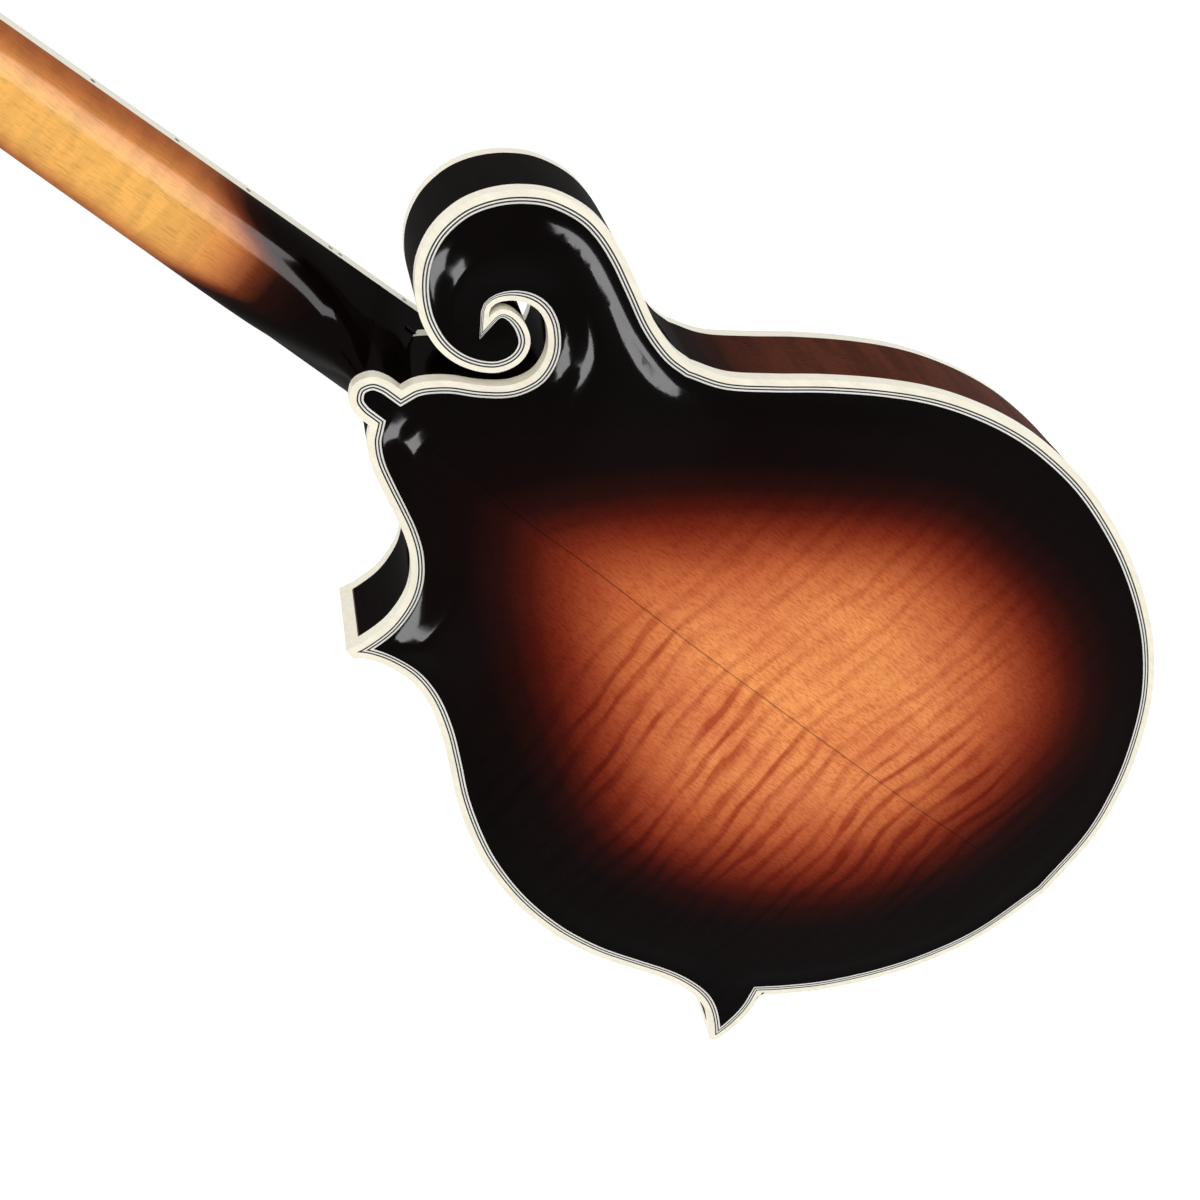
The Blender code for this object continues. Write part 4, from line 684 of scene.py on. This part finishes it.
def plate_points(outline, from_edge):
    """Plate vertices and triangles in plan: a fine edge, two rings and an even grid."""
    edge = inset(outline, from_edge)
    rings = [inset(outline, from_edge + ring)[::2] for ring in PLATE_RINGS]
    corners = np.array(outline)
    low, high = corners.min(axis=0), corners.max(axis=0)
    rows = int((high[1] - low[1]) / (PLATE_GRID * ROW_SHARE)) + 1
    columns = int((high[0] - low[0]) / PLATE_GRID) + 1
    grid = np.array([(low[0] + (c + 0.5 * (r % 2)) * PLATE_GRID,
                      low[1] + r * PLATE_GRID * ROW_SHARE)
                     for r in range(rows) for c in range(columns)])
    clear = from_edge.max() + PLATE_GRID_START
    keep = inside(grid, outline) & (edge_distance(grid, outline) > clear)
    points = list(edge)
    for ring in rings:
        ring = np.array(ring)
        apart = inside(ring, edge) & (edge_distance(ring, edge) > RING_CLEAR)
        points += [tuple(p) for p in ring[apart]]
    points += [tuple(p) for p in grid[keep]]
    places, _, triangles, _, _, _ = delaunay_2d_cdt([Vector(p) for p in points], [],
                                                    [list(range(len(edge)))], 1, 1e-7)
    return np.array([(p.x, p.y) for p in places]), [t for t in triangles if len(t) == 3]


def shade_by_relief(piece, relief, side):
    """Gives the outer face of a plate the relief's own directions, so that sheen runs smoothly."""
    mesh = piece.data
    spots = read_places(mesh.vertices)
    along_x, along_z = relief.slope(spots[:, ::2])
    outward = np.stack([-along_x, np.full(len(spots), side), -along_z], axis=1)
    outward /= np.linalg.norm(outward, axis=1)[:, None]
    corners = read_counts(mesh.loops, "vertex_index")
    facing = read_places(mesh.polygons, "normal")[:, 1] * side > 0.5
    outer = np.repeat(facing, read_counts(mesh.polygons, "loop_total"))
    mesh.normals_split_custom_set(np.where(outer[:, None], outward[corners], 0).tolist())


def carved_mesh(word, side, loop, relief):
    """A plate with the relief on its outer side, and the trim round it."""
    flat, triangles = plate_points(loop, add_trim(word, side, loop))
    heights = RIM_HALF + relief.height(flat)
    build = bmesh.new()
    outer, inner = ([build.verts.new((x, side * (h - down), z)) for (x, z), h in zip(flat, heights)]
                    for down in (0, PLATE_THICK))
    for triangle in triangles:
        build.faces.new([outer[k] for k in triangle])
        build.faces.new([inner[k] for k in reversed(triangle)])
    partner = dict(zip(outer, inner))
    for rim in [e for e in build.edges if e.is_boundary and e.verts[0] in partner]:
        first, second = rim.verts
        build.faces.new((first, second, partner[second], partner[first]))
    loose = [v for v in build.verts if not v.link_faces]
    bmesh.ops.delete(build, geom=loose, context="VERTS")
    return finished(build)


def plan_numbers(piece):
    spots = read_places(piece.data.vertices)
    return -spots[:, 0] / MM, (spots[:, 2] - JOINT_Z) / MM


def add_trim(word, side, loop):
    """Cream binding and the black and white lines between it and the plate."""
    low, high = sorted((side * (RIM_HALF - BINDING_TALL), side * RIM_HALF))
    add_piece(f"{word}_binding_cream", slab([loop, inset(loop, cream_wide(loop))], low, high),
              CREAM, replaces=[f"{word}_binding"], bevel=0.16 * MM)
    low, high = sorted((side * (RIM_HALF - LINE_TALL), side * RIM_HALF))
    for k, (shade, _) in enumerate(PURFLING):
        near, far = (inset(loop, trim_wide(loop, lines)) for lines in (k, k + 1))
        material = BLACK_LINE if shade == "black" else WHITE_LINE
        add_piece(f"{word}_line_{k + 1}", slab([near, far], low, high), material)
    return trim_wide(loop, len(PURFLING))


def add_back():
    """Carved maple back with its burst, flame and edge lines."""
    relief = Relief(rim_loop, BACK_CROWN)
    mesh = carved_mesh("back", 1, back_loop, relief)
    plate = add_piece("back_carved", mesh, back_material(), replaces=["back_plate"],
                      smooth=60)
    x, y = plan_numbers(plate)
    paint(plate, "burst", burst_share(x, y) / BURST_SPAN)
    paint(plate, "figure", flame_share(x, y))
    shade_by_relief(plate, relief, 1)


def add_ribs():
    """The two ribs, and the cream caps of the points with a dark seam under each."""
    half = RIM_HALF - BINDING_TALL - 0.02 * MM
    round_the_rest = joined(waist[6], *waist[:5])
    for word, (tip, outward) in TIPS.items():
        cap = beyond(rim_loop, tip, outward, CAP_LONG, True)
        add_piece(f"{word}_cap_cream", slab([inset(cap, 0.05 * MM)], -half, half), CREAM,
                  replaces=[f"{word}_point_cap"], bevel=0.2 * MM)
        seam = beyond(beyond(rim_loop, tip, outward, CAP_LONG + CAP_SEAM, True), tip, outward,
                      CAP_LONG, False)
        add_piece(f"{word}_cap_seam", slab([inset(seam, 0.08 * MM)], -half, half), SEAM_LINE)
    for name, line, node in (("rib_bass", round_the_rest, "rib_garland"),
                             ("rib_cutaway", waist[5], "rib_treble")):
        skin = inset(line, 0.04 * MM, False)
        band = skin + inset(line, RIB_THICK, False)[::-1]
        for tip, outward in TIPS.values():
            band = beyond(band, tip, outward, CAP_LONG + CAP_SEAM, False)
        rib = add_piece(name, slab([band], -half, half), RIB_MAPLE, replaces=[node])
        x, y = plan_numbers(rib)
        paint(rib, "burst", np.clip(0.15 + eased((y + 120) / 80) + 0.5 * eased((-y - 250) / 60)
                                    + 0.3 * (x < -60), 0, 1))


def wood_material(name, deep, pale, along, roughness, gloss=0.3, relief=0.0):
    """Plain wood: streaks along one axis, given as scales in millimetres."""
    shader = Shader(name, pale, Roughness=roughness, Specular_IOR_Level=gloss)
    streak = shader.noise(along, 4.0, 0.6)
    shader.color(shader.ramp(streak, [(0.32, deep), (0.62, pale)]))
    if relief:
        shader.bump(streak, relief)
    return shader.material


def metal_material(name, color, roughness, scratch=(0.4, 0.4, 0.4)):
    """Plated metal with faint cloudy wear in its colour and sheen."""
    shader = Shader(name, color, Metallic=1.0, Roughness=roughness)
    wear = shader.noise(scratch, 4.0, 0.6)
    shader.color(shader.ramp(wear, [(0.3, tuple(0.82 * c for c in color)), (0.65, color)]))
    spread = shader.ramp(wear, [(0.3, roughness * 1.5), (0.65, roughness * 0.8)])
    shader.plug(spread, shader.surface.inputs["Roughness"])
    return shader.material


def wound_material(name, color):
    """Wire wound round a core: fine rings along the string, with painted shade in the grooves
    between the turns.
    """
    shader = Shader(name, color, Metallic=1.0, Roughness=0.32)
    rings = shader.node("TexWave", bands_direction="Z", Scale=0.9, Distortion=0.4)
    shader.plug(shader.place(), rings.inputs["Vector"])
    turns = rings.outputs["Fac"]
    # Painted shade: the colour falls to half in the grooves between the turns
    shader.color(shader.ramp(turns, [(0.2, tuple(0.5 * c for c in color)), (0.6, color)]))
    shader.bump(turns, 0.5, 0.05 * MM)
    return shader.material


def pearl_material():
    """Pale pearly plastic with soft swirls."""
    shader = Shader("pearl_plastic", (0.86, 0.84, 0.78), Roughness=0.18, Coat_Weight=0.3,
                    Coat_Roughness=0.04)
    swirl = shader.noise((0.22, 0.22, 0.22), 3.0, 0.55, 1.6)
    shader.color(shader.ramp(swirl, [(0.3, (0.70, 0.69, 0.64)), (0.5, (0.88, 0.87, 0.82)),
                                     (0.68, (0.80, 0.82, 0.80))]))
    return shader.material


RIB_MAPLE = lacquered_wood(
    "rib_maple_lacquer", (0.06, 0.015, 0.008),
    [(0.0, (0.105, 0.026, 0.012)), (0.45, (0.085, 0.021, 0.010)),
     (0.8, (0.018, 0.005, 0.003)), (1.0, (0.004, 0.002, 0.0015))],
    [((0.13, 0.02, 0.13), 2.5, 0.55, [(0.36, 0.72), (0.62, 1.08)], "EASE"),
     ((0.3, 2.6, 0.3), 3.0, 0.6, [(0.36, 0.6), (0.5, 1.0)])], 0.04)
# Straight-grained spruce under a burst from amber to nearly black
TOP_SPRUCE = lacquered_wood(
    "spruce_lacquer", (0.5, 0.22, 0.06),
    [(0.0, (0.86, 0.42, 0.13)), (0.34, (0.80, 0.34, 0.09)), (0.48, (0.52, 0.15, 0.035)),
     (0.58, (0.22, 0.045, 0.012)), (0.68, (0.055, 0.010, 0.004)), (0.80, (0.010, 0.003, 0.002)),
     (1.0, (0.0035, 0.0016, 0.0012))],
    [((1.1, 0.15, 0.006), 3.0, 0.65, [(0.36, 0.62), (0.52, 1.0), (0.7, 1.06)]),
     ((0.25, 0.1, 0.35), 2.0, 0.5, [(0.35, 0.93), (0.65, 1.05)])])
# Maple that turns from amber to black at the body and at the peghead, with painted shade darkening
# it towards both sides of the round neck
NECK_MAPLE = lacquered_wood(
    "neck_maple_lacquer", (0.6, 0.25, 0.06),
    [(0.0, (0.92, 0.47, 0.12)), (0.22, (0.80, 0.34, 0.09)), (0.45, (0.50, 0.16, 0.05)),
     (0.64, (0.16, 0.034, 0.012)), (0.80, (0.018, 0.004, 0.002)), (1.0, (0.003, 0.0014, 0.001))],
    [((0.05, 0.08, 0.2), 2.0, 0.5, [(0.38, 0.90), (0.62, 1.03)], "EASE"),
     ((1.8, 1.8, 0.14), 3.0, 0.6, [(0.36, 0.82), (0.5, 1.0)])])
EBONY = wood_material("ebony_satin", (0.008, 0.006, 0.005), (0.022, 0.017, 0.014),
                      (0.6, 0.6, 0.05), 0.38, 0.35, 0.08)
NICKEL = metal_material("nickel_plate", (0.50, 0.48, 0.45), 0.2, (0.07, 0.07, 0.07))
BRASS = metal_material("brass_metal", (0.78, 0.55, 0.24), 0.24)
PEARL = pearl_material()
FINISHES = {
    "bare_spruce": wood_material("spruce_bare", (0.55, 0.40, 0.22), (0.72, 0.56, 0.34),
                                 (0.9, 0.9, 0.03), 0.7, 0.2, 0.1),
    "bare_mahogany": wood_material("mahogany_bare", (0.20, 0.075, 0.035), (0.36, 0.16, 0.08),
                                   (0.5, 0.5, 0.06), 0.65, 0.2, 0.15),
    "ebony": EBONY, "nickel": NICKEL, "brass": BRASS, "ivoroid": CREAM, "pearl_button": PEARL,
    "bone": wood_material("bone_polished", (0.72, 0.67, 0.54), (0.84, 0.80, 0.68),
                          (0.8, 0.8, 0.15), 0.25, 0.45),
    "steel": metal_material("steel_metal", (0.55, 0.55, 0.57), 0.3, (0.5, 0.5, 0.05)),
    "string_steel": metal_material("steel_string", (0.66, 0.66, 0.68), 0.22, (1.5, 1.5, 0.2)),
    "string_bronze": wound_material("bronze_winding", (0.62, 0.36, 0.17)),
}


def add_top():
    """Carved spruce top with its f-holes, burst and edge lines."""
    relief = Relief(rim_loop, TOP_CROWN)
    mesh = carved_mesh("top", -1, rim_loop, relief)
    steps = []
    for side in (1, -1):
        stem = joined(*(smooth_line([on_plan(side * x, y) for x, y in line], 1.5 * MM)
                        for line in (F_INNER_EDGE, F_OUTER_EDGE)))
        shapes = [stem] + [circle(radius * MM, 28, on_plan(side * x, y))
                           for (x, y), radius in F_EYES]
        steps += [("DIFFERENCE", slab([shape], -RIM_HALF - 30 * MM, -5 * MM))
                  for shape in shapes]
    top = add_piece("top_carved", combined(mesh, steps), TOP_SPRUCE,
                    replaces=["top_plate"], smooth=50)
    x, y = plan_numbers(top)
    share = burst_share(x, y, (6, -190), (98, 98, 122, 116))
    paint(top, "burst", share / BURST_SPAN)
    shade_by_relief(top, relief, -1)


def board_half(z):
    return NUT_HALF + (JOINT_HALF - NUT_HALF) * (NUT_Z - z) / NUT_Z


def neck_ring(z, depth, flat, heel, half=None, top=WOOD_TOP):
    """One cross-section of the neck: a round back, or a heel's hollow flanks."""
    half = board_half(z) if half is None else half
    side = []
    for k in range(NECK_SIDE_STEPS + 1):
        part = k / NECK_SIDE_STEPS
        share = math.sin(math.pi / 2 * part) * (1 - heel) + part * heel
        round_back = math.sqrt(max(0, 1 - share ** 2))
        flank = (1 - share) ** 1.5
        reach = flat + (half - flat) * (round_back * (1 - heel) + flank * heel)
        side.append((reach, top + (depth - top) * share))
    return [Vector((x, y, z)) for x, y in side] + [Vector((-x, y, z)) for x, y in side[::-1]]


def post_rods():
    """Tools for the eight post holes, in the peghead's frame."""
    return [slab([circle(POST_HOLE, 24, (side * POST_ROW, POST_FIRST + k * POST_STEP))],
                 -8 * MM, 22 * MM) for side in (-1, 1) for k in range(4)]


def add_neck():
    """Neck, heel and peghead as one piece of maple, and the faces of the peghead."""
    rings = [neck_ring(z * MM, depth * MM, flat * MM, min(1, max(0, heel)))
             for z, depth, flat, heel in smooth_line(NECK_STATIONS, 2.2)]
    to_neck = NECK_FRAME.inverted() @ PEGHEAD_FRAME
    last = neck_ring(14 * MM, 12.4 * MM, 1 * MM, 0, 13 * MM, 0.6 * MM)
    rings.append([to_neck @ point for point in last])
    face = smooth_line([(x * MM, z * MM) for x, z in PEGHEAD], 1.4 * MM)
    head = placed(slab([face], 0, PEGHEAD_THICK), PEGHEAD_FRAME)
    posts = placed(grouped(post_rods()), PEGHEAD_FRAME)
    pocket = placed(block(*TRUSS_POCKET), NECK_FRAME)
    wood = combined(placed(loft(rings), NECK_FRAME), [
        ("UNION", placed(block(*RISER), NECK_FRAME)), ("UNION", head),
        ("DIFFERENCE", placed(block(*TRUSS_SLOT), NECK_FRAME)), ("DIFFERENCE", pocket),
        ("DIFFERENCE", posts)])
    neck = add_piece("neck_shaped", wood, NECK_MAPLE, replaces=["neck"],
                     smooth=38)
    spots = read_places(wood.vertices)
    along = (spots[:, 2] - JOINT_Z) / MM
    aside = np.abs(spots[:, 0]) / board_half(along * MM)
    ends = 1 - eased((along - 30) / 58) + eased((along - 168) / 40)
    # The burst goes to black at the body and peghead ends; the darkening towards both sides of the
    # round neck is painted shade
    paint(neck, "burst", ends + 0.5 * eased((aside - 0.35) / 0.65))
    back, front = -FIT_GAP, -FIT_GAP - OVERLAY_THICK
    foot = placed(block((-30 * MM, -8 * MM, -5 * MM), (30 * MM, 3 * MM, 1.2 * MM)), PEGHEAD_FRAME)
    for name, loops, node, material, slot in (
            ("peghead_face", [inset(face, BOARD_BINDING + 0.12 * MM)], "peghead_overlay", EBONY,
             "ebony"),
            ("peghead_edge", [face, inset(face, BOARD_BINDING)], "peghead_binding", CREAM,
             "ivoroid")):
        sheet = combined(placed(slab(loops, front, back), PEGHEAD_FRAME),
                         [("DIFFERENCE", tool.copy()) for tool in (foot, pocket, posts)])
        add_piece(name, sheet, material, replaces=[node])


def fret_z(k):
    return NUT_Z - SCALE_LENGTH * (1 - 2 ** (-k / 12))


def add_board_trim():
    """Rounded frets over the solid ones, pearl dots on the board and dark dots on its side."""
    frets = []
    for k in range(1, FRET_COUNT + 1):
        z = fret_z(k)
        reach = board_half(z) - BOARD_BINDING - FRET_END
        rings = []
        for x, share in ((-reach, 0.75), (0.5 * MM - reach, 1), (reach - 0.5 * MM, 1),
                         (reach, 0.75)):
            crown = [Vector((x, -FRET_TALL * share * math.sin(math.pi * step / FRET_ARC),
                             z - FRET_HALF * math.cos(math.pi * step / FRET_ARC)))
                     for step in range(FRET_ARC + 1)]
            rings.append([Vector((x, FRET_SUNK, z - FRET_HALF))] + crown
                         + [Vector((x, FRET_SUNK, z + FRET_HALF))])
        frets.append(loft(rings))
    add_piece("fret_wire", placed(grouped(frets), NECK_FRAME), NICKEL)
    dots, side_dots = [], []
    for k in DOT_FRETS:
        z = (fret_z(k) + fret_z(k - 1)) / 2
        pair = k == PAIR_FRET
        for x in ((-DOT_PAIR, DOT_PAIR) if pair else (0,)):
            dots.append(slab([circle(DOT_RADIUS, 32, (x, z))], -0.06 * MM, 0.5 * MM))
        for shift in ((-SIDE_DOT_PAIR, SIDE_DOT_PAIR) if pair else (0,)):
            dot = slab([circle(SIDE_DOT_RADIUS, 20, (0, z + shift))], -0.05 * MM, 0.3 * MM)
            edge = Matrix.Translation((-board_half(z + shift), SIDE_DOT_DEEP, 0))
            side_dots.append(placed(dot, edge @ Matrix.Rotation(-math.pi / 2, 4, "Z")))
    add_piece("board_dots", placed(grouped(dots), NECK_FRAME), PEARL)
    add_piece("side_dots", placed(grouped(side_dots), NECK_FRAME), BLACK_LINE)


def add_two_tone(node, choose, material, bevel=0.0):
    """A finer copy of a solid whose chosen faces, by their middles, have a second material."""
    holder = nodes[node]
    slot = holder.data.materials[0].name
    build = bmesh.new()
    build.from_mesh(holder.data)
    piece = add_piece(f"{node}_fine", finished(build, WELD), FINISHES[slot],
                      holder.parent.name.split(":")[1], [node], 40, bevel)
    piece.data.materials.append(material)
    for face in piece.data.polygons:
        face.material_index = int(choose(face.center))


def add_tuner_finishes():
    """Buttons with nickel shafts, and nickel posts with brass worm wheels."""
    to_peghead = PEGHEAD_FRAME.inverted()
    for k in range(1, 9):
        add_two_tone(f"tuner_button_{k}", lambda spot: abs(spot.x) < SHAFT_END, NICKEL, 0.5 * MM)
        add_two_tone(f"string_post_{k}", lambda spot: (to_peghead @ spot).y < WHEEL_START, NICKEL,
                     0.25 * MM)


def add_strings():
    """Each string in two halves, cut across where the saddle carries them."""
    for name, node in nodes.items():
        slot = node.data.materials[0].name
        if not slot.startswith("string_"):
            continue
        crest = min((vertex.co for vertex in node.data.vertices), key=lambda spot: spot.y).copy()
        for word, fixed_z in (("speaking", NUT_Z + JOINT_Z), ("tail", TAIL_Z)):
            build = bmesh.new()
            build.from_mesh(node.data)
            bmesh.ops.remove_doubles(build, verts=build.verts, dist=WELD)
            away = Vector((0, 0, 1 if fixed_z < crest.z else -1))
            bmesh.ops.bisect_plane(build, geom=build.verts[:] + build.edges[:] + build.faces[:],
                                   dist=1e-6, plane_co=crest, plane_no=away, clear_outer=True)
            bmesh.ops.holes_fill(build, edges=[e for e in build.edges if e.is_boundary])
            half = add_piece(f"{name}_{word}", finished(build), FINISHES[slot], None, [name],
                             50)
            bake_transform(half)


add_back()
add_ribs()
add_top()
add_neck()
add_board_trim()
add_tuner_finishes()
add_strings()

SOFTENED = {"bridge_saddle": 0.7, "bridge_base": 0.7, "tailpiece_cover": 0.8, "end_pin": 0.4,
            "thumbwheel_bass": 0.25, "thumbwheel_treble": 0.25, "nut": 0.2,
            "truss_rod_cover": 0.3, "tuner_plate_bass": 0.2, "tuner_plate_treble": 0.2}
for name, node in nodes.items():
    slot = node.data.materials[0].name
    if slot in FINISHES:
        node.data.materials.clear()
        node.data.materials.append(FINISHES[slot])
    if name in SOFTENED:
        node.modifiers.new("joined", "WELD").merge_threshold = WELD
        soften(node, SOFTENED[name] * MM, 40)


def add_camera():
    """A 54 mm lens on a 36 mm sensor, fitted to the body's outline."""
    camera = bpy.data.cameras.new("camera")
    camera.lens = 54
    camera.sensor_width = 36
    camera.clip_start = 0.01
    eye = in_scene("camera", camera)
    right = Vector((-0.67011, 0.17826, -0.72054))
    down = Vector((0.69192, 0.50142, -0.51944))
    forward = Vector((0.2687, -0.84664, -0.45935))
    turn = Matrix((right, -down, -forward)).transposed()
    eye.matrix_world = Matrix.Translation(EYE) @ turn.to_4x4()
    bpy.context.scene.camera = eye


def add_softbox(name, place, target, wide, tall, power):
    lamp = bpy.data.lights.new(name, "AREA")
    lamp.shape = "RECTANGLE"
    lamp.size, lamp.size_y = wide, tall
    lamp.energy = power
    box = in_scene(name, lamp)
    aim = (Vector(target) - Vector(place)).to_track_quat("-Z", "Y").to_matrix().to_4x4()
    box.matrix_world = Matrix.Translation(place) @ aim
    return box


def add_sheen(name, spot, round_z, above, far, wide, tall, power, piece):
    """A lamp that only shines in the lacquer of one piece, in a direction seen from a spot."""
    turn, lift = math.radians(round_z), math.radians(above)
    away = Vector((math.sin(turn) * math.cos(lift), math.cos(turn) * math.cos(lift),
                   math.sin(lift)))
    box = add_softbox(name, Vector(spot) + away * far, spot, wide, tall, power)
    box.visible_diffuse = False
    box.visible_camera = False
    lacquered = bpy.data.collections.new(name)
    lacquered.objects.link(bpy.data.objects[piece])
    box.light_linking.receiver_collection = lacquered


def seen_rays(tree):
    """1 where a ray comes from the camera, a reflection or glass."""
    path = tree.nodes.new("ShaderNodeLightPath")
    found = path.outputs["Is Camera Ray"]
    for other in ("Is Glossy Ray", "Is Transmission Ray"):
        most = tree.nodes.new("ShaderNodeMath")
        most.operation = "MAXIMUM"
        tree.links.new(found, most.inputs[0])
        tree.links.new(path.outputs[other], most.inputs[1])
        found = most.outputs[0]
    return found


WORLD_LIT, WORLD_SHOWN, FLOOR_GLOW, FLOOR_Z = 0.48, 1.0, 0.6, -0.45
LAMPS = [("key", (-0.9, 1.5, 1.3), 1.0, 22), ("fill", (1.6, 0.8, 0.9), 1.2, 9),
         ("front", (0.3, -1.8, 1.2), 1.4, 17)]
NECK_SPIN, NECK_SPOT_Z, NECK_ROUND, NECK_BACK = math.radians(33), 110 * MM, 17 * MM, 6 * MM


def add_studio():
    """Pale floor that melts into a white surround, and soft lamps on the camera's side."""
    world = bpy.data.worlds.new("studio")
    bpy.context.scene.world = world
    world.use_nodes = True
    tree = world.node_tree
    lit, shown = tree.nodes["Background"], tree.nodes.new("ShaderNodeBackground")
    for background, strength in ((lit, WORLD_LIT), (shown, WORLD_SHOWN)):
        background.inputs["Color"].default_value = (1, 1, 1, 1)
        background.inputs["Strength"].default_value = strength
    choose = tree.nodes.new("ShaderNodeMixShader")
    for k, source in enumerate((seen_rays(tree), lit.outputs[0], shown.outputs[0])):
        tree.links.new(source, choose.inputs[k])
    tree.links.new(choose.outputs[0], tree.nodes["World Output"].inputs[0])

    build = bmesh.new()
    bmesh.ops.create_grid(build, x_segments=1, y_segments=1, size=60)
    floor = in_scene("floor", finished(build))
    floor.location = (0, 0, FLOOR_Z)
    shader = Shader("pale_floor", (0.86, 0.86, 0.85), Roughness=0.9, Specular_IOR_Level=0.0,
                    Emission_Color=(1, 1, 1, 1))
    glow = shader.math("MULTIPLY", seen_rays(shader.tree), FLOOR_GLOW)
    shader.plug(glow, shader.surface.inputs["Emission Strength"])
    floor.data.materials.append(shader.material)

    for name, place, size, power in LAMPS:
        lamp = add_softbox(name, place, (0, 0, 0.3), size, size, power)
        lamp.visible_glossy = False
    add_sheen("scroll_sheen", SCROLL_SPOT, 29, 15, 1.2, 0.38, 0.56, 62, "back_carved")
    add_sheen("waist_sheen", WAIST_SPOT, -50, -22, 0.85, 0.16, 0.74, 33, "back_carved")
    side, back = math.sin(NECK_SPIN), math.cos(NECK_SPIN)
    outward = NECK_FRAME.to_3x3() @ Vector((-side, back, 0))
    place = NECK_FRAME @ Vector((-NECK_ROUND * side, NECK_BACK + NECK_ROUND * back, NECK_SPOT_Z))
    sight = (place - EYE).normalized()
    bounced = sight - 2 * sight.dot(outward) * outward
    add_sheen("neck_sheen", place, math.degrees(math.atan2(bounced.x, bounced.y)),
              math.degrees(math.asin(bounced.z)), 1.3, 1.1, 1.5, 230, "neck_shaped")


add_camera()
add_studio()

view = bpy.context.scene.view_settings
view.view_transform = "Standard"
